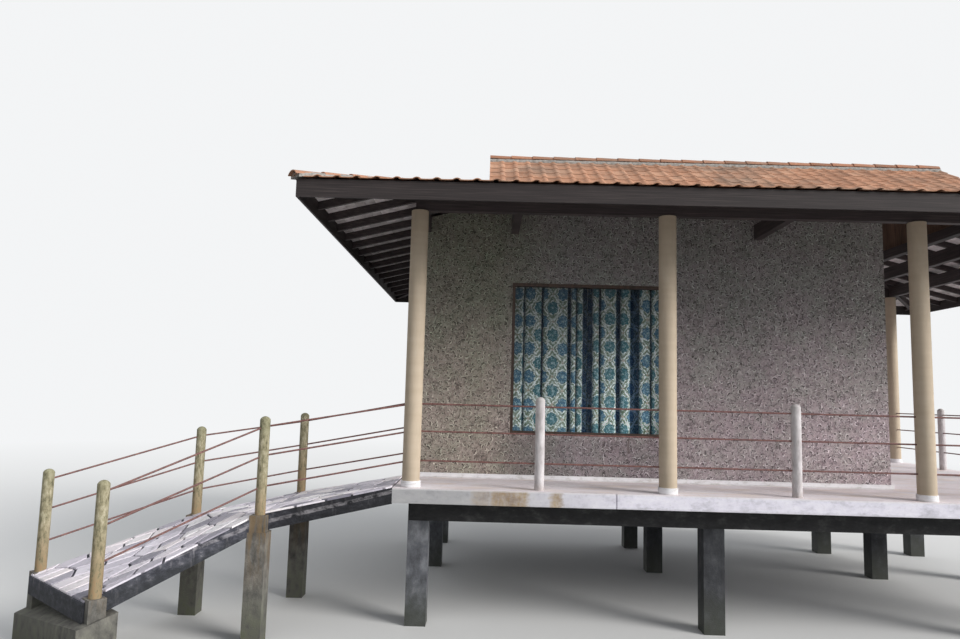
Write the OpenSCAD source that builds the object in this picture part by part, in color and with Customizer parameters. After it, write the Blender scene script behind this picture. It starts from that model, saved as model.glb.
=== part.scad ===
// A house on concrete piers: a walled room with a veranda and an open terrace on one
// platform, a low tiled skirt roof with a gabled upper roof, and a sloping side bridge.
// Lengths are in millimetres. The front looks toward -Y, the facade runs along X, +Z is up.
// Places are worked out from the middle of the column grid, on the level ground, and the
// whole is then moved so that the origin is the foot of the second pier of the middle row.

/* [Platform] */
// Height of the platform floor above the level ground
deck_top = 1650; // [1500:10:1800]
// Thickness of the platform slab
deck_t = 170; // [140:5:220]
// How far the slab reaches past the column centres along the front and back
deck_lip = 150; // [130:5:220]
// How far the slab reaches past the column centres at its two ends
deck_end = 195; // [195:5:260]
// Width of a square pier
pier_w = 250; // [220:10:300]
// Distance of the front pier row in front of the middle
pier_front = 2600; // [2400:50:2750]
// Distance of the middle pier row behind the middle
pier_middle = 450; // [0:50:600]
// Distance of the back pier row behind the middle
pier_back = 2350; // [2200:50:2600]
// Width of the concrete beams under the slab
under_beam_w = 220; // [180:10:220]
// Depth of the concrete beams under the slab
under_beam_h = 260; // [180:10:340]
// Place of the open joint in the front edge of the slab
slab_joint_x = -2120; // [-2600:5:-1700]

/* [Columns] */
// Distance between neighbouring columns along the facade
bay = 3000; // [2900:10:3100]
// Distance of the column rows from the middle
grid_y = 3000; // [2950:10:3100]
// Outside diameter of a column
column_d = 208; // [180:2:240]
// Height of a column above the platform floor
column_h = 3290; // [3100:10:3400]
// Height of the ring at the foot of a column
ring_h = 75; // [50:5:110]
// How far the foot ring stands out from the column
ring_out = 11; // [8:1:25]

/* [Railing] */
// Outside diameter of a railing post
post_d = 114; // [90:2:120]
// Height of a railing post
post_h = 1080; // [1000:10:1150]
// Radius of the domed top of a post
dome_r = 62; // [60:1:100]
// Diameter of a railing rod
rod_d = 20; // [14:1:26]
// Height of the lowest rod above the foot of a post
rod_low = 305; // [250:5:350]
// Height of the middle rod above the foot of a post
rod_mid = 645; // [560:5:700]
// Height of the top rod above the foot of a post
rod_top = 965; // [900:5:985]

/* [Room] */
// How far the left wall stands outside the centres of the end columns
left_past = 150; // [130:5:165]
// How far the right wall stands past the centres of the third columns
right_past = 195; // [150:5:600]
// Distance of the front and back outer wall faces from the middle
room_half = 1900; // [1850:10:2000]
// Thickness of a wall
wall_t = 150; // [130:5:160]
// Height of the raised floor of the room
plinth_h = 60; // [50:5:120]
// How far the raised floor stands out from the walls
plinth_out = 25; // [10:1:30]
// Left side of the window opening
window_x = -3320; // [-3500:10:-3150]
// Width of the window opening
window_w = 2110; // [1800:10:2300]
// Height of the window sill above the platform floor
window_sill = 590; // [500:10:700]
// Height of the window opening
window_h = 2030; // [1800:10:2100]
// Width of the door opening
door_w = 920; // [800:10:1100]
// Height of the door opening above the room floor
door_h = 2100; // [2000:10:2250]

/* [Roof] */
// How far the eaves reach past the column centres
overhang = 1200; // [1100:10:1250]
// Slope of the lower skirt roof in degrees
skirt_pitch = 14; // [13:0.5:16]
// Slope of the upper gabled roof in degrees
upper_pitch = 30; // [25:0.5:31]
// Distance between rafters
rafter_step = 550; // [500:10:620]
// Width of a rafter
rafter_w = 50; // [40:1:65]
// Upright depth of a rafter
rafter_h = 95; // [90:5:130]
// Thickness of the boards on the rafters
board_t = 15; // [12:1:20]
// Thickness of the tile layer
tile_t = 50; // [40:1:60]
// How far the gabled roof reaches past its boarded gables
verge = 350; // [300:10:400]
// How far the tiles reach past the fascia boards
drip = 40; // [25:1:60]

/* [Bridge] */
// Thickness of the bridge deck
bridge_t = 180; // [160:5:230]
// Width of a square bridge pier
bridge_pier_w = 210; // [200:10:260]
// Width of the block under a bridge post
post_block_w = 180; // [140:5:190]
// Drop of the bridge at its bend
bend_drop = 295; // [260:5:330]
// Drop of the bridge at the turn of its far side
turn_drop = 475; // [430:5:520]
// Drop of the bridge at the foot of the ramp
foot_drop = 905; // [850:5:930]

/* [Hidden] */
grid_x = bay + bay / 2;
row_x = [-grid_x, -bay / 2, bay / 2, grid_x];
deck_x = grid_x + deck_end;
deck_y = grid_y + deck_lip;
joint_w = 12;
joint_deep = 30;
gap = 3;
under_z = deck_top - deck_t;
pier_top = under_z - under_beam_h;
pier_in = 80;
pier_x = [-grid_x + pier_in, -885, 2700, grid_x - pier_in];
pier_y = [-pier_front, pier_middle, pier_back];
post_x = [-bay, 0, bay];
post_y = [-grid_y / 2, grid_y / 2];
rod_z = [rod_low, rod_mid, rod_top];
ring_d = column_d + 2 * ring_out;

// The room
floor_z = deck_top + plinth_h;
wall_x0 = -grid_x - left_past;
wall_x1 = bay / 2 + right_past;
sill_z = deck_top + window_sill;
window_top = sill_z + window_h;
frame_w = 40;
frame_d = 90;
frame_in = 25;
glass_t = 6;
door_y0 = -door_w / 2;
door_y1 = door_w / 2;
door_top = floor_z + door_h;
door_frame_w = 50;
leaf_t = 40;
stile_w = 110;
panel_deep = 9;
curtain_t = 90;
curtain_gap = 160;
curtain_side = 60;
curtain_drop = 120;
curtain_head = 90;
curtain_rod_d = 28;
curtain_off = 40;
bracket_w = 24;

// The roof, measured at the underside of the rafters
beam_w = 100;
beam_h = 200;
beam_bottom = deck_top + column_h;
beam_top = beam_bottom + beam_h;
notch = 12;
rise = tan(skirt_pitch);
upper_rise = tan(upper_pitch);
eave_x = grid_x + overhang;
eave_y = grid_y + overhang;
eave_z = beam_top - notch - (overhang - beam_w / 2) * rise;
kink_y = room_half - wall_t / 2;
skirt_w = eave_y - kink_y;
kink_x = eave_x - skirt_w;
kink_z = eave_z + skirt_w * rise;
verge_x = kink_x + verge;
board_lift = rafter_h;
tile_lift = rafter_h + board_t;
top_lift = rafter_h + board_t + tile_t;
fascia_t = 25;
fascia_drop = 85;
fascia_z = eave_z - fascia_drop;
purlin_out = 40;
purlin_w = 120;
purlin_h = 150;
purlin_notch = 10;
purlin_top = kink_z + purlin_notch;
purlin_x = kink_x + purlin_out - purlin_w / 2;
purlin_y = kink_y + purlin_out - purlin_w / 2;
tie_x = [-purlin_x, 0, purlin_x];
stud_w = 90;
gable_t = 25;
king_t = 50;
king_w = 90;
ridge_w = 50;
ridge_h = 200;
ridge_z = kink_z + kink_y * upper_rise;
ridge_beam_z = ridge_z + board_lift - ridge_h;
hip_w = 75;
hip_h = 125;
barge_t = 25;
barge_drop = 160;
cap_r = 105;
cap_sink = 55;
hip_cap_r = 95;
hip_cap_end = 190;
big = 12000;

// The bridge: plan points with their height below the platform floor
at_near = [-deck_x, -deck_y, 0];
far_start = 50;
at_far = [-deck_x, -(room_half + far_start), 0];
bend_near = [-6110, -3440, -bend_drop];
bend_far = [-6130, -1580, -bend_drop];
turn_far = [-7200, -2460, -turn_drop];
foot_twist = 12;
foot_near = [-7240, -4650, -foot_drop + foot_twist];
foot_far = [-8380, -3630, -foot_drop - foot_twist];
foot_run = (foot_near - bend_near) / norm(foot_near - bend_near);
toe = 110;
toe_near = foot_near + toe * foot_run;
toe_far = foot_far + toe * foot_run;
foot_turn = atan2(foot_near[1] - foot_far[1], foot_near[0] - foot_far[0]);
foot_width = norm([foot_near[0] - foot_far[0], foot_near[1] - foot_far[1]]);
abut_w = 360;
abut_out = 110;
pad_w = 160;
post_sink = 60;
rod_wall_y = -(room_half - wall_t / 2);
pier_points = [bend_near, bend_far, turn_far];
foot_points = [foot_near, foot_far];

// A box between two corners
module box(a, b) {
    translate(a)
        cube(b - a);
}

// Moves what is placed from the middle of the column grid to the part's own origin
module from_pier() {
    translate([-pier_x[1], -pier_y[1], 0])
        children();
}

// A wall-like shape drawn in the YZ plane and run along X
module along_x(points, length) {
    rotate([90, 0, 90])
        linear_extrude(length, center = true)
            polygon(points);
}

// A shape drawn in the XZ plane and run along Y
module along_y(points, length) {
    rotate([90, 0, 0])
        linear_extrude(length, center = true)
            polygon(points);
}

// A round bar from point a to point b
module bar(a, b, d) {
    run = b - a;
    size = norm(run);
    translate(a)
        rotate([0, acos(run[2] / size), atan2(run[1], run[0])])
            cylinder(d = d, h = size);
}

// Everything below the skirt roof, lifted from the underside of its rafters
module under_skirt(lift) {
    low = eave_z + lift - drip * rise;
    intersection() {
        along_x([[-eave_y - drip, 0], [eave_y + drip, 0], [eave_y + drip, low],
            [0, low + (eave_y + drip) * rise], [-eave_y - drip, low]], 2 * (eave_x + drip));
        along_y([[-eave_x - drip, 0], [eave_x + drip, 0], [eave_x + drip, low],
            [0, low + (eave_x + drip) * rise], [-eave_x - drip, low]], 2 * (eave_y + drip));
    }
}

// Everything below the gabled roof, between x = -reach and x = reach
module under_upper(lift, reach) {
    along_x([[-kink_y, deck_top], [kink_y, deck_top], [kink_y, kink_z + lift],
        [0, ridge_z + lift], [-kink_y, kink_z + lift]], 2 * reach);
}

// A sloping layer of the skirt roof between two lifts
module skirt_layer(low, high) {
    difference() {
        under_skirt(high);
        under_skirt(low);
    }
}

// The plan of the front slope of the skirt, as a tall block
module front_plan(out) {
    linear_extrude(big)
        polygon([[-eave_x - out + gap, -eave_y - out], [eave_x + out - gap, -eave_y - out],
            [kink_x - gap, -kink_y], [-kink_x + gap, -kink_y]]);
}

// The plan of the left slope of the skirt, as a tall block
module left_plan(out) {
    linear_extrude(big)
        polygon([[-eave_x - out, -eave_y - out], [-kink_x, -kink_y], [-kink_x, kink_y],
            [-eave_x - out, eave_y + out]]);
}

// The four slopes of the skirt as separate slabs
module skirt_slabs(low, high, out) {
    for (side = [0, 180])
        rotate([0, 0, side]) {
            intersection() {
                skirt_layer(low, high);
                front_plan(out);
            }
            intersection() {
                skirt_layer(low, high);
                left_plan(out);
            }
        }
}

// The part of the skirt that a verge of the upper roof would run into
module verge_foot() {
    intersection() {
        under_skirt(top_lift);
        for (side = [-1, 1])
            translate([side * (kink_x + big / 2), 0, big / 2])
                cube([big, big, big], center = true);
    }
}

// The two slopes of the gabled roof as separate slabs
module upper_slabs(low, high, reach) {
    for (side = [0, 180])
        rotate([0, 0, side])
            difference() {
                intersection() {
                    under_upper(high, reach);
                    box([-big, -big, 0], [big, -gap, big]);
                }
                under_upper(low, reach + 1);
                verge_foot();
            }
}

// Places a shape at the foot of every column
module at_columns() {
    for (x = row_x, y = [-grid_y, grid_y])
        translate([x, y, deck_top])
            children();
    translate([grid_x, 0, deck_top])
        children();
}

module column_solids() {
    at_columns()
        translate([0, 0, ring_h])
            cylinder(d = column_d, h = column_h - ring_h);
}

// A railing post whose foot goes down by sink into what it stands on
module post(sink) {
    translate([0, 0, -sink])
        cylinder(d = post_d, h = post_h - dome_r + sink);
    intersection() {
        cylinder(d = post_d, h = post_h);
        translate([0, 0, post_h - dome_r])
            sphere(r = dome_r);
    }
}

module post_solids() {
    for (x = post_x, y = [-grid_y, grid_y])
        translate([x, y, deck_top])
            post(0);
    for (y = post_y)
        translate([grid_x, y, deck_top])
            post(0);
}

module ring_beam_solids() {
    out_x = grid_x + beam_w / 2;
    out_y = grid_y + beam_w / 2;
    in_y = grid_y - beam_w / 2;
    for (side = [-1, 1]) {
        translate([0, side * grid_y, beam_bottom + beam_h / 2])
            cube([2 * out_x, beam_w, beam_h], center = true);
        translate([side * grid_x, 0, beam_bottom + beam_h / 2])
            cube([beam_w, 2 * (in_y - gap), beam_h], center = true);
    }
}

module tie_beam_solids() {
    for (x = tie_x)
        translate([x, 0, beam_bottom + beam_h / 2])
            cube([beam_w, 2 * grid_y - beam_w, beam_h], center = true);
}

module purlin_solids() {
    z = purlin_top - purlin_h / 2;
    for (side = [-1, 1]) {
        translate([0, side * purlin_y, z])
            cube([2 * (kink_x + purlin_out), purlin_w, purlin_h], center = true);
        translate([side * purlin_x, 0, z])
            cube([purlin_w, 2 * (purlin_y - purlin_w / 2 - gap), purlin_h], center = true);
    }
}

module ridge_beam_solid() {
    intersection() {
        translate([0, 0, ridge_beam_z + ridge_h / 2])
            cube([2 * (verge_x - barge_t), ridge_w, ridge_h], center = true);
        under_upper(board_lift, verge_x);
    }
}

// The space of the ridge beam and all above it, for boards and rafters to stop at
module ridge_clear() {
    box([-big, -ridge_w / 2, ridge_beam_z], [big, ridge_w / 2, big]);
}

module hip_rafter_solids() {
    intersection() {
        skirt_layer(board_lift - hip_h, board_lift);
        for (x = [-1, 1], y = [-1, 1])
            translate([x * kink_x, y * kink_y, 0])
                rotate([0, 0, atan2(y, x)])
                    translate([0, -hip_w / 2, 0])
                        cube([skirt_w * sqrt(2) - fascia_t * sqrt(2), hip_w, big]);
        box([-eave_x + fascia_t, -eave_y + fascia_t, 0],
            [eave_x - fascia_t, eave_y - fascia_t, big]);
    }
}

module gable_solids() {
    for (side = [0, 180])
        rotate([0, 0, side])
            intersection() {
                under_upper(board_lift, kink_x);
                box([-kink_x, -kink_y, purlin_top], [-kink_x + gable_t, kink_y, big]);
            }
}

// A very wide slab of upright thickness t, its top in the plane of three points
module plane_slab(a, b, c, t) {
    n = cross(b - a, c - a) / norm(cross(b - a, c - a));
    up = n[2] < 0 ? -n : n;
    translate([a[0], a[1], deck_top + a[2]])
        rotate(a = acos(up[2]), v = [-up[1], up[0], 0])
            translate([-big, -big, -t * up[2]])
                cube([2 * big, 2 * big, t * up[2]]);
}

// A slab over a plan shape, its top in the plane of three points, with upright sides
module sloped_slab(plan, a, b, c, t) {
    intersection() {
        difference() {
            linear_extrude(deck_top)
                polygon(plan);
            slab_gap(bend_near, bend_far);
            slab_gap(bend_near, turn_far);
            slab_gap(turn_far, toe_near);
        }
        plane_slab(a, b, c, t);
    }
}

// The thin gap between two bridge slabs, along the line from point a to point b
module slab_gap(a, b) {
    run = flat(b) - flat(a);
    translate([a[0], a[1], 0])
        rotate([0, 0, atan2(run[1], run[0])])
            translate([-norm(run), -gap / 2, 0])
                cube([3 * norm(run), gap, big]);
}

function flat(p) = [p[0], p[1]];

module bridge_slabs(t) {
    sloped_slab([flat(at_near), flat(bend_near), flat(bend_far), flat(at_far)],
        at_near, bend_near, bend_far, t);
    sloped_slab([flat(bend_near), flat(turn_far), flat(bend_far)],
        bend_near, turn_far, bend_far, t);
    sloped_slab([flat(bend_near), flat(toe_near), flat(turn_far)],
        bend_near, toe_near, turn_far, t);
    sloped_slab([flat(turn_far), flat(toe_near), flat(toe_far)],
        turn_far, toe_near, toe_far, t);
}

module bridge_post_block(p) {
    w = post_block_w;
    translate([p[0], p[1], (deck_top + p[2]) / 2])
        cube([w, w, deck_top + p[2]], center = true);
}

// The square pads that the two posts at the foot of the ramp stand on
module foot_pads() {
    for (p = foot_points)
        translate([p[0], p[1], (deck_top + p[2]) / 2])
            rotate([0, 0, foot_turn])
                cube([pad_w, pad_w, deck_top + p[2]], center = true);
}

module bridge_post_solids() {
    for (p = pier_points)
        translate([p[0], p[1], deck_top + p[2]])
            post(0);
    for (p = foot_points)
        translate([p[0], p[1], deck_top + p[2]])
            post(post_sink);
}

module piers() {
    color([0.45, 0.44, 0.42]) from_pier()
        for (x = pier_x, y = pier_y)
            translate([x, y, pier_top / 2])
                cube([pier_w, pier_w, pier_top], center = true);
}

module long_beams() {
    reach = abs(pier_x[0]) + pier_w / 2;
    color([0.42, 0.41, 0.39]) from_pier()
        for (y = pier_y)
            translate([0, y, under_z - under_beam_h / 2])
                cube([2 * reach, under_beam_w, under_beam_h], center = true);
}

module cross_beams() {
    w = under_beam_w / 2;
    color([0.42, 0.41, 0.39]) from_pier()
        for (x = pier_x, i = [0, 1])
            box([x - w, pier_y[i] + w, pier_top], [x + w, pier_y[i + 1] - w, under_z]);
}

module deck_slab() {
    color([0.75, 0.72, 0.68]) from_pier()
        difference() {
            box([-deck_x, -deck_y, under_z], [deck_x, deck_y, deck_top]);
            box([slab_joint_x - joint_w / 2, -deck_y - 1, under_z - 1],
                [slab_joint_x + joint_w / 2, -deck_y + joint_deep, deck_top + 1]);
        }
}

module room_floor() {
    o = plinth_out;
    color([0.83, 0.82, 0.80]) from_pier()
        box([wall_x0 - o, -room_half - o, deck_top], [wall_x1 + o, room_half + o, floor_z]);
}

module room_walls() {
    color([0.62, 0.56, 0.57]) from_pier()
        difference() {
            intersection() {
                box([wall_x0, -room_half, floor_z], [wall_x1, room_half, big]);
                union() {
                    under_skirt(0);
                    under_upper(0, kink_x);
                }
            }
            box([wall_x0 + wall_t, -room_half + wall_t, 0],
                [wall_x1 - wall_t, room_half - wall_t, big]);
            box([window_x, -big, sill_z], [window_x + window_w, big, window_top]);
            box([wall_x1 - wall_t - 1, door_y0, 0], [wall_x1 + 1, door_y1, door_top]);
            ring_beam_solids();
            tie_beam_solids();
            purlin_solids();
            ridge_beam_solid();
        }
}

// A slim window frame, drawn for the front wall
module window_frame() {
    y0 = -room_half + frame_in;
    difference() {
        box([window_x, y0, sill_z], [window_x + window_w, y0 + frame_d, window_top]);
        box([window_x + frame_w, y0 - 1, sill_z + frame_w],
            [window_x + window_w - frame_w, y0 + frame_d + 1, window_top - frame_w]);
    }
}

module window_pane() {
    y0 = -room_half + frame_in + frame_d / 2;
    box([window_x + frame_w, y0, sill_z + frame_w],
        [window_x + window_w - frame_w, y0 + glass_t, window_top - frame_w]);
}

module curtain_pair() {
    x0 = window_x - curtain_side;
    x1 = window_x + window_w + curtain_side;
    mid = (x0 + x1) / 2;
    y0 = -room_half + wall_t + curtain_off;
    z0 = sill_z - curtain_drop;
    z1 = window_top + curtain_head;
    box([x0, y0, z0], [mid - curtain_gap / 2, y0 + curtain_t, z1]);
    box([mid + curtain_gap / 2, y0, z0], [x1, y0 + curtain_t, z1]);
}

module curtain_rod() {
    x0 = window_x - 2 * curtain_side;
    x1 = window_x + window_w + 2 * curtain_side;
    y0 = -room_half + wall_t + curtain_off + curtain_t / 2;
    z0 = window_top + curtain_head + curtain_rod_d / 2;
    bar([x0, y0, z0], [x1, y0, z0], curtain_rod_d);
    for (x = [x0, x1 - bracket_w])
        difference() {
            box([x, -room_half + wall_t, z0 - bracket_w], [x + bracket_w, y0, z0 + bracket_w]);
            bar([x0 - 1, y0, z0], [x1 + 1, y0, z0], curtain_rod_d);
        }
}

module front_window_frame() {
    color([0.20, 0.13, 0.09]) from_pier()
        window_frame();
}

module back_window_frame() {
    color([0.20, 0.13, 0.09]) from_pier()
        mirror([0, 1, 0])
            window_frame();
}

module front_window_glass() {
    color([0.80, 0.88, 0.90, 0.4]) from_pier()
        window_pane();
}

module back_window_glass() {
    color([0.80, 0.88, 0.90, 0.4]) from_pier()
        mirror([0, 1, 0])
            window_pane();
}

module front_curtains() {
    color([0.30, 0.62, 0.68]) from_pier()
        curtain_pair();
}

module back_curtains() {
    color([0.30, 0.62, 0.68]) from_pier()
        mirror([0, 1, 0])
            curtain_pair();
}

module curtain_rods() {
    color([0.25, 0.20, 0.16]) from_pier()
        for (side = [0, 1])
            mirror([0, side, 0])
                curtain_rod();
}

module door_frame() {
    x0 = wall_x1 - wall_t;
    w = door_frame_w;
    color([0.20, 0.13, 0.09]) from_pier() {
        box([x0, door_y0, floor_z], [wall_x1, door_y0 + w, door_top - w]);
        box([x0, door_y1 - w, floor_z], [wall_x1, door_y1, door_top - w]);
        box([x0, door_y0, door_top - w], [wall_x1, door_y1, door_top]);
    }
}

module door_leaf() {
    x1 = wall_x1 - wall_t;
    y1 = door_y1;
    size = door_w - 2 * door_frame_w;
    high = door_h - door_frame_w;
    wide = (size - 3 * stile_w) / 2;
    tall = (high - 4 * stile_w) / 3;
    color([0.28, 0.18, 0.12]) from_pier()
        difference() {
            box([x1 - size, y1 - leaf_t, floor_z], [x1, y1, floor_z + high]);
            for (i = [0, 1], k = [0:2], y = [y1 - leaf_t - 1, y1 - panel_deep])
                translate([x1 - size + stile_w + i * (wide + stile_w), y,
                    floor_z + stile_w + k * (tall + stile_w)])
                    cube([wide, panel_deep + 1, tall]);
        }
}

module columns() {
    color([0.78, 0.70, 0.55]) from_pier()
        column_solids();
}

module column_rings() {
    color([0.88, 0.87, 0.84]) from_pier()
        at_columns()
            cylinder(d = ring_d, h = ring_h);
}

module rail_posts() {
    color([0.68, 0.65, 0.66]) from_pier()
        post_solids();
}

module long_rods(y) {
    difference() {
        for (z = rod_z)
            bar([-grid_x, y, deck_top + z], [grid_x, y, deck_top + z], rod_d);
        column_solids();
        post_solids();
    }
}

module front_rails() {
    color([0.45, 0.22, 0.18]) from_pier()
        long_rods(-grid_y);
}

module back_rails() {
    color([0.45, 0.22, 0.18]) from_pier()
        long_rods(grid_y);
}

module side_rails() {
    color([0.45, 0.22, 0.18]) from_pier()
        difference() {
            for (z = rod_z)
                bar([grid_x, -grid_y, deck_top + z], [grid_x, grid_y, deck_top + z], rod_d);
            column_solids();
            post_solids();
        }
}

module ring_beams() {
    color([0.22, 0.16, 0.12]) from_pier()
        ring_beam_solids();
}

module tie_beams() {
    color([0.22, 0.16, 0.12]) from_pier()
        tie_beam_solids();
}

module roof_studs() {
    low = purlin_top - purlin_h;
    color([0.22, 0.16, 0.12]) from_pier() {
        for (x = [-purlin_x, purlin_x], y = [-purlin_y, 0, purlin_y])
            box([x - stud_w / 2, y - stud_w / 2, beam_top], [x + stud_w / 2, y + stud_w / 2, low]);
        for (side = [0, 180])
            rotate([0, 0, side])
                box([kink_x - gable_t - king_t, -king_w / 2, purlin_top],
                    [kink_x - gable_t, king_w / 2, ridge_beam_z]);
        box([-king_w / 2, -king_w / 2, beam_top], [king_w / 2, king_w / 2, ridge_beam_z]);
    }
}

module purlins() {
    color([0.22, 0.16, 0.12]) from_pier()
        purlin_solids();
}

module ridge_beam() {
    color([0.22, 0.16, 0.12]) from_pier()
        ridge_beam_solid();
}

module hip_rafters() {
    color([0.18, 0.12, 0.09]) from_pier()
        difference() {
            hip_rafter_solids();
            ring_beam_solids();
            purlin_solids();
        }
}

module skirt_rafters() {
    count_x = floor((eave_x - fascia_t - rafter_w) / rafter_step);
    count_y = floor((eave_y - fascia_t - rafter_w) / rafter_step);
    color([0.18, 0.12, 0.09]) from_pier()
        difference() {
            for (side = [0, 180])
                rotate([0, 0, side]) {
                    intersection() {
                        skirt_layer(0, board_lift);
                        front_plan(0);
                        for (i = [-count_x:count_x])
                            box([i * rafter_step - rafter_w / 2, -eave_y + fascia_t, 0],
                                [i * rafter_step + rafter_w / 2, -kink_y, big]);
                    }
                    intersection() {
                        skirt_layer(0, board_lift);
                        left_plan(0);
                        for (i = [-count_y:count_y])
                            box([-eave_x + fascia_t, i * rafter_step - rafter_w / 2, 0],
                                [-kink_x, i * rafter_step + rafter_w / 2, big]);
                    }
                }
            hip_clear();
            ring_beam_solids();
            purlin_solids();
        }
}

// The strips of plan that the hip rafters take up
module hip_clear() {
    for (x = [-1, 1], y = [-1, 1])
        translate([x * kink_x, y * kink_y, 0])
            rotate([0, 0, atan2(y, x)])
                translate([-hip_w, -hip_w / 2, 0])
                    cube([big / 2, hip_w, big]);
}

module upper_rafters() {
    count = floor((kink_x - gable_t - rafter_w) / rafter_step);
    color([0.18, 0.12, 0.09]) from_pier()
        difference() {
            for (side = [0, 180])
                rotate([0, 0, side])
                    intersection() {
                        difference() {
                            under_upper(board_lift, kink_x);
                            under_upper(0, kink_x + 1);
                        }
                        for (i = [-count:count])
                            box([i * rafter_step - rafter_w / 2, -kink_y + gap, 0],
                                [i * rafter_step + rafter_w / 2, 0, big]);
                    }
            purlin_solids();
            ridge_clear();
        }
}

module fascias() {
    color([0.15, 0.10, 0.08]) from_pier()
        for (side = [0, 180])
            rotate([0, 0, side]) {
                box([-eave_x, -eave_y, fascia_z], [eave_x, -eave_y + fascia_t, eave_z + tile_lift]);
                box([-eave_x, -eave_y + fascia_t + gap, fascia_z],
                    [-eave_x + fascia_t, eave_y - fascia_t - gap, eave_z + tile_lift]);
            }
}

module skirt_boards() {
    color([0.70, 0.58, 0.54]) from_pier()
        intersection() {
            skirt_slabs(board_lift, tile_lift, 0);
            box([-eave_x + fascia_t, -eave_y + fascia_t, 0],
                [eave_x - fascia_t, eave_y - fascia_t, big]);
        }
}

module upper_boards() {
    color([0.70, 0.58, 0.54]) from_pier()
        upper_slabs(board_lift, tile_lift, verge_x);
}

module skirt_tiles() {
    color([0.75, 0.47, 0.36]) from_pier()
        difference() {
            skirt_slabs(tile_lift, top_lift, drip);
            fascias_block();
        }
}

module fascias_block() {
    difference() {
        box([-eave_x, -eave_y, fascia_z], [eave_x, eave_y, eave_z + tile_lift]);
        box([-eave_x + fascia_t, -eave_y + fascia_t, 0],
            [eave_x - fascia_t, eave_y - fascia_t, big]);
    }
}

module upper_tiles() {
    color([0.75, 0.47, 0.36]) from_pier()
        upper_slabs(tile_lift, top_lift, verge_x);
}

module gable_boards() {
    color([0.45, 0.30, 0.22]) from_pier()
        difference() {
            gable_solids();
            ridge_clear();
        }
}

module bargeboards() {
    color([0.15, 0.10, 0.08]) from_pier()
        for (side = [0, 180])
            rotate([0, 0, side])
                difference() {
                    intersection() {
                        under_upper(board_lift, verge_x);
                        union() {
                            box([-verge_x, -big, 0], [-verge_x + barge_t, -gap, big]);
                            box([verge_x - barge_t, -big, 0], [verge_x, -gap, big]);
                        }
                    }
                    under_upper(board_lift - barge_drop, verge_x + 1);
                    verge_foot();
                }
}

module ridge_cap() {
    color([0.70, 0.42, 0.32]) from_pier()
        difference() {
            bar([-verge_x, 0, ridge_z + top_lift - cap_sink],
                [verge_x, 0, ridge_z + top_lift - cap_sink], 2 * cap_r);
            under_upper(top_lift, verge_x + 1);
        }
}

module hip_caps() {
    color([0.70, 0.42, 0.32]) from_pier()
        difference() {
            for (x = [-1, 1], y = [-1, 1]) {
                low = [x * (eave_x + drip), y * (eave_y + drip), eave_z + top_lift - drip * rise];
                high = [x * kink_x, y * kink_y, kink_z + top_lift];
                run = (high - low) / norm(high - low);
                bar(low - [0, 0, cap_sink], high - hip_cap_end * run - [0, 0, cap_sink],
                    2 * hip_cap_r);
            }
            under_skirt(top_lift);
        }
}

module bridge_deck() {
    color([0.50, 0.50, 0.50]) from_pier()
        difference() {
            bridge_slabs(bridge_t);
            for (p = pier_points)
                bridge_post_block(p);
            bridge_post_solids();
        }
}

module bridge_piers() {
    color([0.45, 0.44, 0.40]) from_pier()
        for (p = pier_points)
            difference() {
                union() {
                    translate([p[0], p[1], (deck_top + p[2] - bridge_t) / 2])
                        cube([bridge_pier_w, bridge_pier_w, deck_top + p[2] - bridge_t],
                            center = true);
                    bridge_post_block(p);
                }
                difference() {
                    bridge_slabs(bridge_t);
                    bridge_post_block(p);
                }
            }
}

module bridge_abutment() {
    mid = (foot_near + foot_far) / 2;
    size = foot_width + 2 * abut_out;
    color([0.45, 0.44, 0.40]) from_pier()
        difference() {
            union() {
                intersection() {
                    translate([mid[0], mid[1], deck_top / 2])
                        rotate([0, 0, foot_turn])
                            cube([size, abut_w, deck_top], center = true);
                    translate([0, 0, -bridge_t]) {
                        intersection() {
                            plane_slab(bend_near, toe_near, turn_far, deck_top);
                            plane_slab(turn_far, toe_near, toe_far, deck_top);
                        }
                    }
                    box([-big, -big, 0], [big, big, deck_top]);
                }
                foot_pads();
            }
            bridge_slabs(bridge_t);
            bridge_post_solids();
        }
}

module bridge_posts() {
    color([0.62, 0.58, 0.48]) from_pier()
        bridge_post_solids();
}

module slope_rods(a, b) {
    for (z = rod_z)
        bar([a[0], a[1], deck_top + a[2] + z], [b[0], b[1], deck_top + b[2] + z], rod_d);
}

module bridge_near_rails() {
    color([0.45, 0.22, 0.18]) from_pier()
        difference() {
            union() {
                slope_rods([-grid_x, -grid_y, 0], bend_near);
                slope_rods(bend_near, foot_near);
            }
            column_solids();
            bridge_post_solids();
        }
}

module bridge_far_rails() {
    color([0.45, 0.22, 0.18]) from_pier()
        difference() {
            union() {
                slope_rods([wall_x0, rod_wall_y, 0], bend_far);
                slope_rods(bend_far, turn_far);
                slope_rods(turn_far, foot_far);
            }
            box([wall_x0, -room_half, deck_top], [wall_x1, room_half, big]);
            bridge_post_solids();
        }
}

piers();
long_beams();
cross_beams();
deck_slab();
room_floor();
room_walls();
front_window_frame();
back_window_frame();
front_window_glass();
back_window_glass();
front_curtains();
back_curtains();
curtain_rods();
door_frame();
door_leaf();
columns();
column_rings();
rail_posts();
front_rails();
side_rails();
back_rails();
ring_beams();
tie_beams();
roof_studs();
purlins();
ridge_beam();
hip_rafters();
skirt_rafters();
upper_rafters();
fascias();
skirt_boards();
upper_boards();
skirt_tiles();
upper_tiles();
gable_boards();
bargeboards();
ridge_cap();
hip_caps();
bridge_deck();
bridge_piers();
bridge_abutment();
bridge_posts();
bridge_near_rails();
bridge_far_rails();
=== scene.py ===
import math
import random

import bmesh
import bpy
from mathutils import Matrix, Vector


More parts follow.
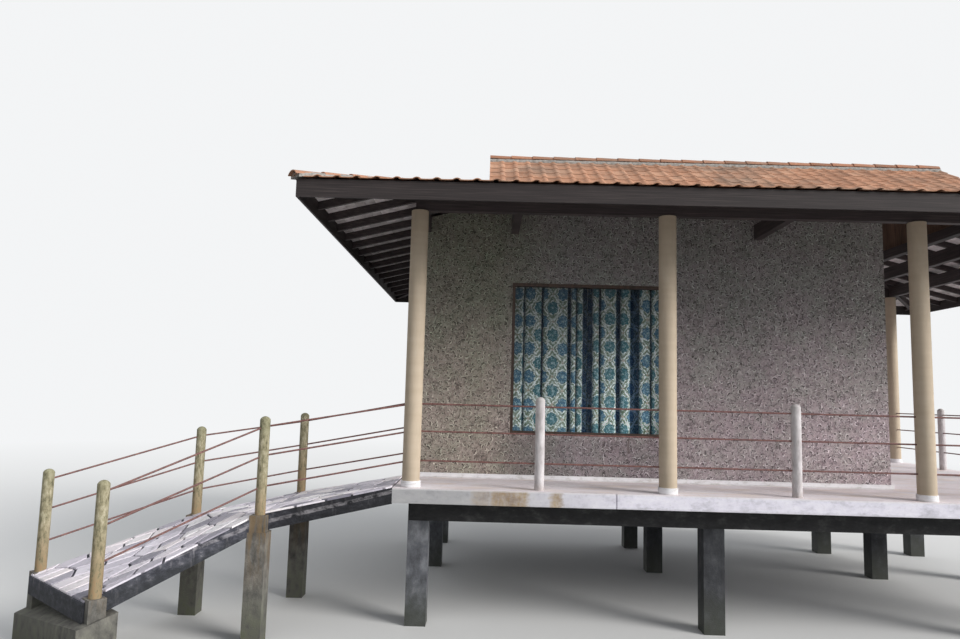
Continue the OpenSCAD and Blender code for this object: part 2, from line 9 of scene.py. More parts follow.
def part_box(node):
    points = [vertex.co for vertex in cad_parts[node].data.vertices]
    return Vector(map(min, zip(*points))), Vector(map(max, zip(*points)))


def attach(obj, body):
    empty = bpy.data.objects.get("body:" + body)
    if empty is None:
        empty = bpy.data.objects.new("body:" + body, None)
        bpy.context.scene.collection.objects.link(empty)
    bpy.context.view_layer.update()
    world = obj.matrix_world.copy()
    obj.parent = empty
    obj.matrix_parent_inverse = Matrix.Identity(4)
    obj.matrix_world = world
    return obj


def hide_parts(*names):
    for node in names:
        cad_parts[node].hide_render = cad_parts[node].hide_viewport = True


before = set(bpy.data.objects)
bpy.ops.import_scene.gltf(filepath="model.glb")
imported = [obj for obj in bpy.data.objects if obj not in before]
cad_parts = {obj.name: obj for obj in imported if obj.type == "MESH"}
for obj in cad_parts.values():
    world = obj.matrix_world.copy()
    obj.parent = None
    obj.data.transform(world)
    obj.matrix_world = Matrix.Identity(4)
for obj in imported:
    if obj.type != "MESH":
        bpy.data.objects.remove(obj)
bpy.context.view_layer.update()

# Lengths are in metres. Plan sizes are measured from the middle of the columns.
LOW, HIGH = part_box("ring_beams")
MID = Vector(((LOW.x + HIGH.x) / 2, (LOW.y + HIGH.y) / 2, 0))
UP = Vector((0, 0, 1))
DECK_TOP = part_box("deck_slab")[1].z

# Roof planes: heights are above the underside of the rafters
EAVE_LOW, EAVE_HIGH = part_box("fascias")
EAVE_X = (EAVE_HIGH.x - EAVE_LOW.x) / 2
EAVE_Y = (EAVE_HIGH.y - EAVE_LOW.y) / 2
BOARD_LIFT = 0.095
TILE_LIFT = 0.110
TOP_LIFT = 0.160
EAVE_Z = EAVE_HIGH.z - TILE_LIFT
SKIRT_RISE = math.tan(math.radians(14))
UPPER_RISE = math.tan(math.radians(30))
KINK_X = 3.325
KINK_Y = 1.825
KINK_Z = EAVE_Z + (EAVE_Y - KINK_Y) * SKIRT_RISE
RIDGE_Z = KINK_Z + KINK_Y * UPPER_RISE
VERGE_X = 3.675
DRIP = 0.040
FASCIA_T = 0.025

# Roof tiles
TILE_W = 0.210
TILE_LAP = 0.060
TILE_THICK = 0.010
TILE_NOSE = 0.016
TILE_REST = 0.002
TILE_YAW = 0.012
TILE_SLIP = 0.008
TILE_LOOSE = 0.002
TILE_DROOP = 0.003
TILE_STRAY = 0.2 * TILE_W
TILE_CLOSE = 0.001
TILE_PROFILE = ((0.000, 0.006), (0.012, 0.001), (0.055, 0.000), (0.105, 0.000), (0.145, 0.002),
                (0.160, 0.010), (0.176, 0.0175), (0.192, 0.0198), (0.210, 0.0172),
                (0.226, 0.010), (0.236, 0.002))
SKIRT_ROWS = 8
SKIRT_GAP = 0.012
UPPER_ROWS = 7
UPPER_KICK = 0.028
UPPER_REACH = 0.060

# Hip and ridge tiles
RIDGE_R = 0.104
HIP_R = 0.095
RIDGE_SPREAD = math.radians(72)
HIP_SPREAD = math.radians(62)
CAP_POINTS = 11
CAP_SINK = 0.055
CAP_THICK = 0.012
CAP_PLAY = 0.002
CAP_LAP = 0.050
CAP_LONG = 0.400
HIP_CAP_END = 0.190
RIDGE_BED = 0.101
HIP_BED = 0.089
MORTAR_BACK = 0.040
MORTAR_STEP = 0.050
MORTAR_ROUGH = 0.006
MORTAR_CROWN = 0.024
MORTAR_FLAT = 0.6
MORTAR_THICK = 0.030

# Boards
BOARD_W = 0.115
BOARD_GAP = 0.005
BOARD_TWIST = 0.0012
BOARD_BUTT = 0.003
BOARD_LONG = (2.6, 3.8)
BOARD_FIRST = (1.2, 3.8)
BOARD_LEAST = 0.5
BOARD_START = 0.004
HIP_GAP = 0.004
GABLE_BOARD_W = 0.120
GABLE_T = 0.025
GABLE_JOINT = 0.001
GABLE_SINK = 0.002
GABLE_UNEVEN = 0.003
GABLE_SHORT = 0.020
GABLE_NARROW = 0.030
RIDGE_BEAM_W = 0.050
RIDGE_BEAM_TOP = RIDGE_Z + BOARD_LIFT - 0.200
PURLIN_TOP = KINK_Z + 0.010

# Paving on the bridge
STONE_AREA = 0.052
STONE_LEAST = 0.004
STONE_THICK = 0.016
STONE_FOOT = 0.002
STONE_UNEVEN = 0.003
STONE_JOINT = 0.013
STONE_BEVEL = 0.005
STONE_LONG = 1.5
STONE_EDGE = 0.014
STONE_WALL = 0.6 * STONE_THICK
STONE_DRAWN = 0.04
STONE_TRIES = 6000
STONE_SPACING = 0.75 * math.sqrt(STONE_AREA)


def feed(tree, socket, value):
    if isinstance(value, bpy.types.NodeSocket):
        tree.links.new(value, socket)
    elif socket.type == "RGBA" and len(value) == 3:
        socket.default_value = (*value, 1)
    else:
        socket.default_value = value


def put(tree, kind, out, inputs=(), **props):
    """Adds a node, feeds its inputs and returns one of its outputs."""
    node = tree.nodes.new("ShaderNode" + kind)
    for name, value in props.items():
        setattr(node, name, value)
    for name, value in dict(inputs).items():
        feed(tree, node.inputs[name], value)
    return node.outputs[out]


class Look:
    """A material that is built node by node."""

    def __init__(self, name, rough=0.85, gloss=0.4):
        self.mat = bpy.data.materials.new(name)
        self.mat.use_nodes = True
        self.tree = self.mat.node_tree
        self.nodes = self.tree.nodes
        self.shader = self.nodes["Principled BSDF"]
        self.set("Roughness", rough)
        self.set("Specular IOR Level", gloss)
        self.where = self.put("TexCoord", "Object")

    def set(self, name, value):
        feed(self.tree, self.shader.inputs[name], value)

    def put(self, kind, out, inputs=(), **props):
        return put(self.tree, kind, out, inputs, **props)

    def calc(self, op, a, b=0.0):
        return self.put("Math", 0, {0: a, 1: b}, operation=op)

    def plus(self, a, b, share=1.0):
        return self.calc("ADD", a, b if share == 1.0 else self.times(b, share))

    def minus(self, a, b):
        return self.calc("SUBTRACT", a, b)

    def times(self, a, b):
        return self.calc("MULTIPLY", a, b)

    def size_of(self, a):
        return self.calc("ABSOLUTE", a)

    def vector(self, op, a, b=(0, 0, 0), out=0):
        return self.put("VectorMath", out, {0: a, 1: b}, operation=op)

    def at(self, size, move=(0, 0, 0), where=None):
        """Coordinates in which one unit is size metres long."""
        size = size if isinstance(size, tuple) else (size, size, size)
        where = self.where if where is None else where
        return self.put("Mapping", 0, {"Vector": where, "Location": move, "Scale": size},
                        vector_type="TEXTURE")

    def noise(self, size, detail=3.0, rough=0.55, warp=0.0, move=(0, 0, 0)):
        return self.put("TexNoise", 0, {"Vector": self.at(size, move), "Scale": 1.0,
                                        "Detail": detail, "Roughness": rough,
                                        "Distortion": warp})

    def shaken(self, place, size, amount):
        """Coordinates moved a little, by a noise of the given size."""
        drift = self.put("TexNoise", 1, {"Vector": self.at(size), "Scale": 1.0, "Detail": 3.0})
        drift = self.vector("SUBTRACT", drift, (0.5, 0.5, 0.5))
        drift = self.put("VectorMath", 0, {0: drift, 3: amount}, operation="SCALE")
        return self.vector("ADD", place, drift)

    def span(self, value, low, high, start=0.0, end=1.0):
        """A value from low to high becomes one from start to end, and is held there."""
        return self.put("MapRange", 0, {"Value": value, "From Min": low, "From Max": high,
                                        "To Min": start, "To Max": end})

    def band(self, value, low, high, soft):
        """1 between low and high, falling to 0 over soft on both sides."""
        return self.times(self.span(value, low - soft, low),
                          self.span(value, high, high + soft, 1.0, 0.0))

    def mix(self, share, a, b, kind="MIX"):
        return self.put("Mix", 2, {0: share, 6: a, 7: b}, data_type="RGBA", blend_type=kind)

    def cover(self, colour, other, value, low, high, start=0.0, end=1.0):
        """Another colour laid over this one, in a share that goes with the value."""
        return self.mix(self.span(value, low, high, start, end), colour, other)

    def covers(self, colour, *layers):
        for layer in layers:
            colour = self.cover(colour, *layer)
        return colour

    def tint(self, share, colour, by):
        """The colour, multiplied by another one in this share."""
        return self.mix(share, colour, self.mix(1.0, colour, by, "MULTIPLY"))

    def shade(self, colour, amount):
        """The colour made lighter or darker by amount, 1 leaving it as it is."""
        grey = self.put("CombineColor", 0, {0: amount, 1: amount, 2: amount})
        return self.mix(1.0, colour, grey, "MULTIPLY")

    def ramp(self, value, low, high, *stops):
        """Colours at their places between a low and a high value."""
        node = self.nodes.new("ShaderNodeValToRGB")
        feed(self.tree, node.inputs[0], self.span(value, low, high))
        marks = node.color_ramp.elements
        while len(marks) < len(stops):
            marks.new(1.0)
        for mark, (place, colour) in zip(marks, stops):
            mark.position = place
            mark.color = (*colour, 1)
        return node.outputs[0]

    def tones(self, value, low, high, dark, mid, pale, middle=0.5):
        """Three tones between a low and a high value."""
        return self.ramp(value, low, high, (0.0, dark), (middle, mid), (1.0, pale))

    def axis(self, number, where=None):
        return self.put("SeparateXYZ", number, {0: self.where if where is None else where})

    def plan(self, number):
        """A coordinate measured from the middle of the columns."""
        return self.minus(self.axis(number), MID[number])

    def height(self):
        """The height above the platform's floor."""
        return self.minus(self.axis(2), DECK_TOP)

    def tone(self):
        return self.put("Attribute", "Fac", attribute_name="tone")

    def finish(self, colour, height, depth):
        """Sets the colour and a relief of the given depth."""
        self.set("Base Color", colour)
        self.set("Normal", self.put("Bump", 0, {"Height": height, "Distance": depth,
                                                "Strength": 1.0}))
        return self


def dress(look, *names, edge=0.0):
    for name in names:
        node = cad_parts[name]
        for place in node.material_slots:
            place.material = look.mat
        if not node.material_slots:
            node.data.materials.append(look.mat)
        if edge:
            soften = node.modifiers.new("edge", "BEVEL")
            soften.width = edge
            soften.segments = 2
            soften.limit_method = "ANGLE"
            soften.angle_limit = math.radians(50)


def add_piece(name, mesh, look, stands_for=()):
    """Puts a finished mesh into the scene, in place of the CAD nodes that it stands for."""
    mesh.materials.append(look.mat)
    obj = bpy.data.objects.new(name, mesh)
    bpy.context.scene.collection.objects.link(obj)
    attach(obj, "root")
    if stands_for:
        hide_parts(*stands_for)
    return obj


class Build:
    """Collects many small closed solids and makes one mesh of them."""

    def __init__(self):
        self.verts = []
        self.faces = []
        self.tones = []

    def add(self, verts, faces, tone):
        base = len(self.verts)
        self.verts.extend(verts)
        self.faces.extend([base + i for i in face] for face in faces)
        self.tones.extend([tone] * len(verts))

    def take(self, other, planes, keep_all=False):
        """Adds another build after cutting it along each plane, where what lies in front
        of the plane is left out unless keep_all is set."""
        mesh = bmesh.new()
        tone = mesh.verts.layers.float.new("tone")
        made = [mesh.verts.new(v) for v in other.verts]
        for vert, value in zip(made, other.tones):
            vert[tone] = value
        for face in other.faces:
            mesh.faces.new([made[i] for i in face])
        for place, normal in planes:
            bmesh.ops.bisect_plane(mesh, geom=mesh.verts[:] + mesh.edges[:] + mesh.faces[:],
                                   plane_co=place, plane_no=normal,
                                   clear_outer=not keep_all)
            open_edges = [e for e in mesh.edges if e.is_boundary]
            bmesh.ops.holes_fill(mesh, edges=open_edges, sides=0)
        mesh.verts.index_update()
        base = len(self.verts)
        self.verts.extend(v.co.copy() for v in mesh.verts)
        self.tones.extend(v[tone] for v in mesh.verts)
        self.faces.extend([base + v.index for v in f.verts] for f in mesh.faces)
        mesh.free()

    def piece(self, name, look, stands_for=(), smooth=None):
        mesh = bpy.data.meshes.new(name)
        mesh.from_pydata(self.verts, [], self.faces)
        tone = mesh.attributes.new("tone", "FLOAT", "POINT")
        tone.data.foreach_set("value", self.tones)
        mesh.validate()
        if smooth is not None:
            mesh.shade_smooth()
            mesh.set_sharp_from_angle(angle=math.radians(smooth))
        return add_piece(name, mesh, look, stands_for)


def quads(across, along):
    """The faces of a grid of points, row by row."""
    for j in range(along - 1):
        for i in range(across - 1):
            a = j * across + i
            yield a, a + 1, a + across + 1, a + across


def grid_shell(top, bottom, across, along):
    """Corner points and faces of a thin closed shell given by two grids of points."""
    count = across * along
    faces = []
    for quad in quads(across, along):
        faces.append(quad)
        faces.append(tuple(count + k for k in reversed(quad)))
    rim = list(range(across))
    rim += [j * across + across - 1 for j in range(1, along)]
    rim += [(along - 1) * across + i for i in range(across - 2, -1, -1)]
    rim += [j * across for j in range(along - 2, 0, -1)]
    for a, b in zip(rim, rim[1:] + rim[:1]):
        faces.append((b, a, count + a, count + b))
    return top + bottom, faces


def stack(*loops):
    """A closed solid through loops of as many points each, the lowest first."""
    count = len(loops[0])
    last = (len(loops) - 1) * count
    faces = [tuple(reversed(range(count))), tuple(range(last, last + count))]
    for base in range(0, last, count):
        for i in range(count):
            j = (i + 1) % count
            faces.append((base + i, base + j, base + count + j, base + count + i))
    return [point for loop in loops for point in loop], faces


class Slope:
    """A roof slope: u runs along it, s is the plan distance below its top edge and h the
    upright height above the underside of the rafters."""

    def __init__(self, number, depth, half, spread, top_z, rise, run):
        angle = math.radians(90 * number)
        self.out = Vector((math.cos(angle), math.sin(angle), 0))
        self.along = Vector((-math.sin(angle), math.cos(angle), 0))
        self.top = MID + self.out * depth + UP * top_z
        self.half = half
        self.spread = spread
        self.rise = rise
        self.run = run

    def point(self, u, s, h):
        return self.top + self.along * u + self.out * s + UP * (h - s * self.rise)

    def sides(self, gap):
        """The two planes that end the slope, gap short of its hips or verges."""
        planes = []
        for side in (-1, 1):
            normal = (self.along * side - self.out * self.spread).normalized()
            corner = self.point(side * self.half, 0, 0)
            planes.append((corner - normal * gap, normal))
        return planes


def skirt_slopes(run_past):
    """The four low slopes, which meet at the hips and run past the eaves."""
    run = EAVE_Y + run_past - KINK_Y
    for number in range(4):
        depth, half = (KINK_Y, KINK_X) if number % 2 else (KINK_X, KINK_Y)
        yield Slope(number, depth, half, 1, KINK_Z, SKIRT_RISE, run)


def upper_slopes(run_past):
    """The two steeper slopes between the gables, from the ridge past the kink."""
    for number in (1, 3):
        yield Slope(number, 0, VERGE_X, 0, RIDGE_Z, UPPER_RISE, KINK_Y + run_past)


def tile(slope, u, s_head, s_nose, rest, nose, rng):
    """One roof tile with its left edge at u, from its head down to its nose."""
    yaw = rng.uniform(-TILE_YAW, TILE_YAW)
    slip = rng.uniform(-TILE_SLIP, 0.0)
    loose = rng.uniform(0, TILE_LOOSE)
    top = []
    bottom = []
    for part in (0.0, 0.97, 1.0):
        s = s_head + (s_nose + slip - s_head) * part
        lift = rest + (nose + loose) * part
        droop = TILE_DROOP if part == 1.0 else 0.0
        for x, z in TILE_PROFILE:
            place = u + x + yaw * (s - s_head)
            bottom.append(slope.point(place, s, lift + z))
            top.append(slope.point(place, s, lift + z + TILE_THICK - droop))
    return grid_shell(top, bottom, len(TILE_PROFILE), 3)


def tile_row(slope, row, step, kick, rng):
    """The tiles of one row, as far as they reach onto the slope."""
    s_head = max(row * step - TILE_LAP, 0.0)
    s_nose = (row + 1) * step
    reach = slope.half + slope.spread * s_nose + TILE_STRAY
    columns = math.ceil((slope.half + slope.spread * slope.run) / TILE_W)
    for column in range(-columns, columns):
        left = column * TILE_W + (0.0 if slope.spread else TILE_W / 2)
        right = left + TILE_W
        if left > reach or right < -reach:
            continue
        if not slope.spread and (left < -slope.half - TILE_CLOSE or right > slope.half + TILE_CLOSE):
            continue
        yield tile(slope, left, s_head, s_nose, TILE_LIFT + TILE_REST, TILE_NOSE + kick, rng)


def tile_slope(slope, rows, rng, last_kick=0.0):
    build = Build()
    for row in range(rows):
        kick = last_kick if row == rows - 1 else 0.0
        for verts, faces in tile_row(slope, row, slope.run / rows, kick, rng):
            build.add(verts, faces, rng.random())
    return build


def make_tiles(look):
    rng = random.Random(11)
    skirt = Build()
    for slope in skirt_slopes(DRIP):
        skirt.take(tile_slope(slope, SKIRT_ROWS, rng), slope.sides(SKIRT_GAP))
    skirt.piece("skirt_roof_tiles", look, ["skirt_tiles"], smooth=35)
    upper = Build()
    for slope in upper_slopes(UPPER_REACH):
        upper.take(tile_slope(slope, UPPER_ROWS, rng, UPPER_KICK), slope.sides(0.0))
    upper.piece("upper_roof_tiles", look, ["upper_tiles"], smooth=35)


def cap_tile(start, end, r_start, r_end, spread):
    """A half-round tile laid from start to end along a hip or ridge."""
    side = (end - start).normalized().cross(UP).normalized()
    top = []
    bottom = []
    for part in (0.0, 0.06, 0.5, 1.0):
        centre = start.lerp(end, part)
        radius = r_start + (r_end - r_start) * part
        for i in range(CAP_POINTS):
            angle = spread * (2 * i / (CAP_POINTS - 1) - 1)
            way = side * math.sin(angle) + UP * math.cos(angle)
            top.append(centre + way * radius)
            bottom.append(centre + way * (radius - CAP_THICK))
    return grid_shell(top, bottom, CAP_POINTS, 4)


def cap_row(build, low, high, radius, spread, rng):
    """Overlapping half-round tiles from low to high, each resting on the one below it."""
    length = (high - low).length
    count = max(1, round(length / (CAP_LONG - CAP_LAP)))
    step = length / count
    run = (high - low) / length
    for i in range(count):
        start = low + run * (i * step)
        end = low + run * min(length, (i + 1) * step + CAP_LAP)
        verts, faces = cap_tile(start, end, radius, radius - CAP_THICK - CAP_PLAY, spread)
        build.add(verts, faces, rng.random())


def mortar_bed(build, low, high, half, sink, rng):
    """The strip of mortar that a row of cap tiles lies in."""
    side = (high - low).normalized().cross(UP).normalized()
    count = max(2, int((high - low).length / MORTAR_STEP))
    top = []
    bottom = []
    for i in range(count):
        centre = low.lerp(high, i / (count - 1))
        left = half + rng.uniform(-MORTAR_ROUGH, MORTAR_ROUGH)
        right = half + rng.uniform(-MORTAR_ROUGH, MORTAR_ROUGH)
        flat = MORTAR_FLAT * half
        for across, lift in ((-left, 0.0), (-flat, MORTAR_CROWN), (flat, MORTAR_CROWN), (right, 0.0)):
            fall = sink * abs(across)
            top.append(centre + side * across + UP * (lift - fall))
            bottom.append(centre + side * across - UP * (MORTAR_THICK + fall))
    verts, faces = grid_shell(top, bottom, 4, count)
    build.add(verts, faces, 0.5)


def hip_lines():
    for x in (-1, 1):
        for y in (-1, 1):
            low = MID + Vector((x * (EAVE_X + DRIP), y * (EAVE_Y + DRIP),
                                EAVE_Z + TOP_LIFT - DRIP * SKIRT_RISE))
            high = MID + Vector((x * KINK_X, y * KINK_Y, KINK_Z + TOP_LIFT))
            yield low, high - (high - low).normalized() * HIP_CAP_END


def make_caps(look, mortar):
    rng = random.Random(23)
    hips = Build()
    beds = Build()
    sink = UP * CAP_SINK
    for low, high in hip_lines():
        cap_row(hips, low - sink, high - sink, HIP_R, HIP_SPREAD, rng)
        start = low + (high - low).normalized() * MORTAR_BACK
        mortar_bed(beds, start, high, HIP_BED, SKIRT_RISE / math.sqrt(2), rng)
    hips.piece("hip_cap_tiles", look, ["hip_caps"], smooth=35)
    ridge = Build()
    low = MID + Vector((-VERGE_X, 0, RIDGE_Z + TOP_LIFT))
    high = MID + Vector((VERGE_X, 0, RIDGE_Z + TOP_LIFT))
    cap_row(ridge, low - sink, high - sink, RIDGE_R, RIDGE_SPREAD, rng)
    ridge.piece("ridge_cap_tiles", look, ["ridge_cap"], smooth=35)
    mortar_bed(beds, low, high, RIDGE_BED, UPPER_RISE, rng)
    beds.piece("cap_mortar", mortar, smooth=40)


def board(build, slope, u0, u1, s0, s1, tone, rng):
    """One ceiling board, a little twisted."""
    corners = ((u0, s0), (u1, s0), (u1, s1), (u0, s1))
    rise = [rng.uniform(-BOARD_TWIST, BOARD_TWIST) for _ in corners]
    under = [slope.point(u, s, BOARD_LIFT + r) for (u, s), r in zip(corners, rise)]
    over = [slope.point(u, s, TILE_LIFT) for u, s in corners]
    build.add(*stack(under, over), tone)


def board_slope(slope, s_start, rng):
    build = Build()
    count = round((slope.run - s_start) / (BOARD_W + BOARD_GAP))
    step = (slope.run - s_start) / count
    for row in range(count):
        s0 = s_start + row * step
        s1 = s0 + step - BOARD_GAP
        reach = slope.half + slope.spread * s1
        u = -reach
        long = rng.uniform(*BOARD_FIRST)
        while u < reach:
            end = min(u + long, reach)
            if reach - end < BOARD_LEAST:
                end = reach
            board(build, slope, u, end - BOARD_BUTT, s0, s1, rng.random(), rng)
            u = end
            long = rng.uniform(*BOARD_LONG)
    return build


def make_boards(look):
    rng = random.Random(37)
    skirt = Build()
    for slope in skirt_slopes(-FASCIA_T):
        skirt.take(board_slope(slope, 0.0, rng), slope.sides(HIP_GAP))
    skirt.piece("skirt_ceiling_boards", look, ["skirt_boards"])
    upper = Build()
    for slope in upper_slopes(0.0):
        upper.take(board_slope(slope, BOARD_START, rng), slope.sides(0.0))
    upper.piece("upper_ceiling_boards", look, ["upper_boards"])


def gable_board(x0, x1, y0, y1, end):
    """One upright board from the purlin to the slope or, at the ridge, to its beam."""
    y0 += GABLE_JOINT
    y1 -= GABLE_JOINT
    plan = ((x0, y0), (x1, y0), (x1, y1), (x0, y1))
    foot = [MID + Vector((x, y, PURLIN_TOP)) for x, y in plan]
    head = []
    for x, y in plan:
        slant = RIDGE_Z + BOARD_LIFT - GABLE_SINK - abs(y) * UPPER_RISE
        top = min(slant, RIDGE_BEAM_TOP) if y0 < 0 < y1 else slant
        head.append(MID + Vector((x, y, top)))
    return stack(foot[::end], head[::end])


def make_gable_boards(look):
    """Upright boards that close the two gables, cut to the slope of the roof."""
    rng = random.Random(41)
    build = Build()
    lines = [-RIDGE_BEAM_W / 2, RIDGE_BEAM_W / 2]
    while lines[-1] < KINK_Y - GABLE_SHORT - GABLE_NARROW:
        lines.append(min(lines[-1] + GABLE_BOARD_W, KINK_Y - GABLE_SHORT))
        lines.insert(0, -lines[-1])
    for end in (-1, 1):
        for y0, y1 in zip(lines, lines[1:]):
            x0 = end * (KINK_X - GABLE_T)
            x1 = end * (KINK_X - rng.uniform(0.0, GABLE_UNEVEN))
            build.add(*gable_board(x0, x1, y0, y1, end), rng.random())
    build.piece("gable_wall_boards", look, ["gable_boards"])


# Corners of the bridge in plan, with their heights against the platform floor
AT_NEAR = Vector((-4.695, -3.150, 0.0))
AT_FAR = Vector((-4.695, -1.950, 0.0))
BEND_NEAR = Vector((-6.110, -3.440, -0.295))
BEND_FAR = Vector((-6.130, -1.580, -0.295))
TURN_FAR = Vector((-7.200, -2.460, -0.475))
FOOT_NEAR = Vector((-7.240, -4.650, -0.893))
FOOT_FAR = Vector((-8.380, -3.630, -0.917))
TOE = (FOOT_NEAR - BEND_NEAR).normalized() * 0.110
TOE_NEAR = FOOT_NEAR + TOE
TOE_FAR = FOOT_FAR + TOE


def clip(loop, place, normal):
    """The part of a plan loop behind a line."""
    kept = []
    for a, b in zip(loop, loop[1:] + loop[:1]):
        da = (a - place).dot(normal)
        db = (b - place).dot(normal)
        if da <= 0:
            kept.append(a)
        if da * db < 0:
            kept.append(a.lerp(b, da / (da - db)))
    return kept


def inset(loop, distance):
    """A plan loop, counter-clockwise, moved inward by distance."""
    result = loop
    for a, b in zip(loop, loop[1:] + loop[:1]):
        if (b - a).length < 1e-5:
            continue
        way = (b - a).normalized()
        outward = Vector((way.y, -way.x))
        result = clip(result, a - outward * distance, outward)
        if len(result) < 3:
            return []
    return result


def side_of(a, b, p):
    """More than 0 where p lies to the left of the line from a to b in plan."""
    return (b - a).x * (p.y - a.y) - (b - a).y * (p.x - a.x)


def area_of(loop):
    return sum(a.x * b.y - b.x * a.y for a, b in zip(loop, loop[1:] + loop[:1])) / 2


def spread_spots(plan, along, aside, rng):
    """Points over a plan loop, well apart, wider apart along the walk than across it."""
    spots = []
    xs = [p.x for p in plan]
    ys = [p.y for p in plan]
    wanted = round(area_of(plan) / STONE_AREA)
    for attempt in range(STONE_TRIES):
        least = STONE_SPACING * (1 - 0.75 * attempt / STONE_TRIES)
        p = Vector((rng.uniform(min(xs), max(xs)), rng.uniform(min(ys), max(ys))))
        inside = all(side_of(a, b, p) > 0 for a, b in zip(plan, plan[1:] + plan[:1]))
        clear = all(Vector(((p - q).dot(along) / STONE_LONG, (p - q).dot(aside))).length > least
                    for q in spots)
        if inside and clear:
            spots.append(p)
        if len(spots) == wanted:
            break
    return spots


def stone_cell(p, spots, cell, along, aside):
    """The plan of the stone round p: what is nearer to it than to the other spots."""
    for q in spots:
        if q is p or len(cell) < 3:
            continue
        gap = q - p
        pull = along * (gap.dot(along) / STONE_LONG ** 2) + aside * gap.dot(aside)
        pull.normalize()
        cell = clip(cell, p + gap * 0.5 - pull * STONE_JOINT, pull)
    return cell


def stone(cell, middle, lift):
    """A broken stone with a chamfered rim over its plan, its foot just below zero."""
    top = inset(cell, STONE_BEVEL)
    if len(top) != len(cell):
        top = [v.lerp(middle, STONE_DRAWN) for v in cell]
    levels = ((cell, -STONE_FOOT), (cell, STONE_WALL + lift), (top, STONE_THICK + lift))
    return stack(*([Vector((v.x, v.y, h)) for v in loop] for loop, h in levels))


def fall_of(corners):
    """The height of a plane through three corners, for any plan point."""
    a, b, c = corners
    normal = (b - a).cross(c - a)
    return lambda p: a.z - (normal.x * (p.x - a.x) + normal.y * (p.y - a.y)) / normal.z


def pave(build, outline, walk, folds, height, rng):
    """Flat broken stones over a plan outline, bent where they cross a fold."""
    plan = [c.to_2d() for c in outline]
    if area_of(plan) < 0:
        plan.reverse()
    along = walk.to_2d().normalized()
    aside = Vector((-along.y, along.x))
    spots = spread_spots(plan, along, aside, rng)
    edge = inset(plan, STONE_EDGE)
    flat = Build()
    for p in spots:
        cell = stone_cell(p, spots, edge, along, aside)
        if len(cell) > 2 and area_of(cell) > STONE_LEAST:
            verts, faces = stone(cell, p, rng.uniform(0.0, STONE_UNEVEN))
            flat.add(verts, faces, rng.random())
    start = len(build.verts)
    cuts = []
    for a, b in folds:
        run = (b - a).to_2d()
        cuts.append((Vector((a.x, a.y, 0)), Vector((-run.y, run.x, 0)).normalized()))
    build.take(flat, cuts, keep_all=True)
    for i in range(start, len(build.verts)):
        v = build.verts[i]
        build.verts[i] = MID + Vector((v.x, v.y, v.z + DECK_TOP + height(v)))


def make_paving(look):
    rng = random.Random(53)
    build = Build()
    first = fall_of((AT_NEAR, BEND_NEAR, BEND_FAR))
    turn = fall_of((BEND_NEAR, TURN_FAR, BEND_FAR))
    slope = fall_of((BEND_NEAR, TOE_NEAR, TURN_FAR))
    foot = fall_of((TURN_FAR, TOE_NEAR, TOE_FAR))

    def ramp(p):
        if (side_of(BEND_NEAR, TURN_FAR, p) > 0) == (side_of(BEND_NEAR, TURN_FAR, BEND_FAR) > 0):
            return turn(p)
        if (side_of(TURN_FAR, TOE_NEAR, p) > 0) == (side_of(TURN_FAR, TOE_NEAR, TOE_FAR) > 0):
            return foot(p)
        return slope(p)

    pave(build, (AT_NEAR, BEND_NEAR, BEND_FAR, AT_FAR), BEND_NEAR - AT_NEAR, (), first, rng)
    pave(build, (BEND_NEAR, TOE_NEAR, TOE_FAR, TURN_FAR, BEND_FAR), FOOT_NEAR - BEND_NEAR,
         ((BEND_NEAR, TURN_FAR), (TURN_FAR, TOE_NEAR)), ramp, rng)
    build.piece("bridge_stones", look)


# The render on the walls
HOOK_SIZE = 0.074
SMALL_HOOK = 0.62 * HOOK_SIZE
HOOK_DRIFT = 0.060
# The darkest tone is painted shade for the hollows and dark strokes of the render, the brightest a
# painted highlight for its ridges and pale strokes.
WALL_PAINTED_SHADE = (0.105, 0.082, 0.086)
WALL_DIM = (0.285, 0.236, 0.246)
WALL_MID = (0.430, 0.360, 0.375)
WALL_PALE = (0.590, 0.505, 0.523)
WALL_PAINTED_HIGHLIGHT = (0.880, 0.800, 0.825)
PINKISH = (1.03, 0.985, 1.01)
GREENISH = (0.97, 1.00, 0.965)


def wall_hooks(look, plan, size, shift):
    """Open rings of ridges and, inside each, the shaded hollow."""
    place = look.at((size, size, 1), (shift, shift, 0), plan)
    cell = {"Vector": place, "Scale": 1.0, "Randomness": 1.0}
    spot = look.put("TexVoronoi", "Position", cell, voronoi_dimensions="2D")
    chance = look.put("TexVoronoi", "Color", cell, voronoi_dimensions="2D")
    chance = look.put("SeparateColor", 0, {0: chance})
    local = look.vector("SUBTRACT", place, spot)
    angle = look.calc("ARCTAN2", look.axis(1, local), look.axis(0, local))
    angle = look.plus(angle, chance, 6.283)
    bent = look.span(look.calc("COSINE", angle), -0.30, 0.30)
    ring = look.minus(look.vector("LENGTH", local, out=1), look.span(chance, 0, 1, 0.24, 0.40))
    ridge = look.span(look.size_of(ring), 0.02, 0.12, 1.0, 0.0)
    hollow = look.span(look.size_of(look.plus(ring, 0.15)), 0.02, 0.11, 1.0, 0.0)
    return look.times(ridge, bent), look.times(hollow, bent)


def wall_worms(look, size, wide, shift):
    """Thin curling strokes, broken here and there."""
    level = look.noise(size, detail=1.5, warp=0.9, move=(shift, 0, shift))
    line = look.span(look.size_of(look.minus(level, 0.5)), 0.2 * wide, wide, 1.0, 0.0)
    broken = look.noise(size * 1.3, detail=1.0, move=(0, shift, shift))
    return look.times(line, look.span(broken, 0.42, 0.55))


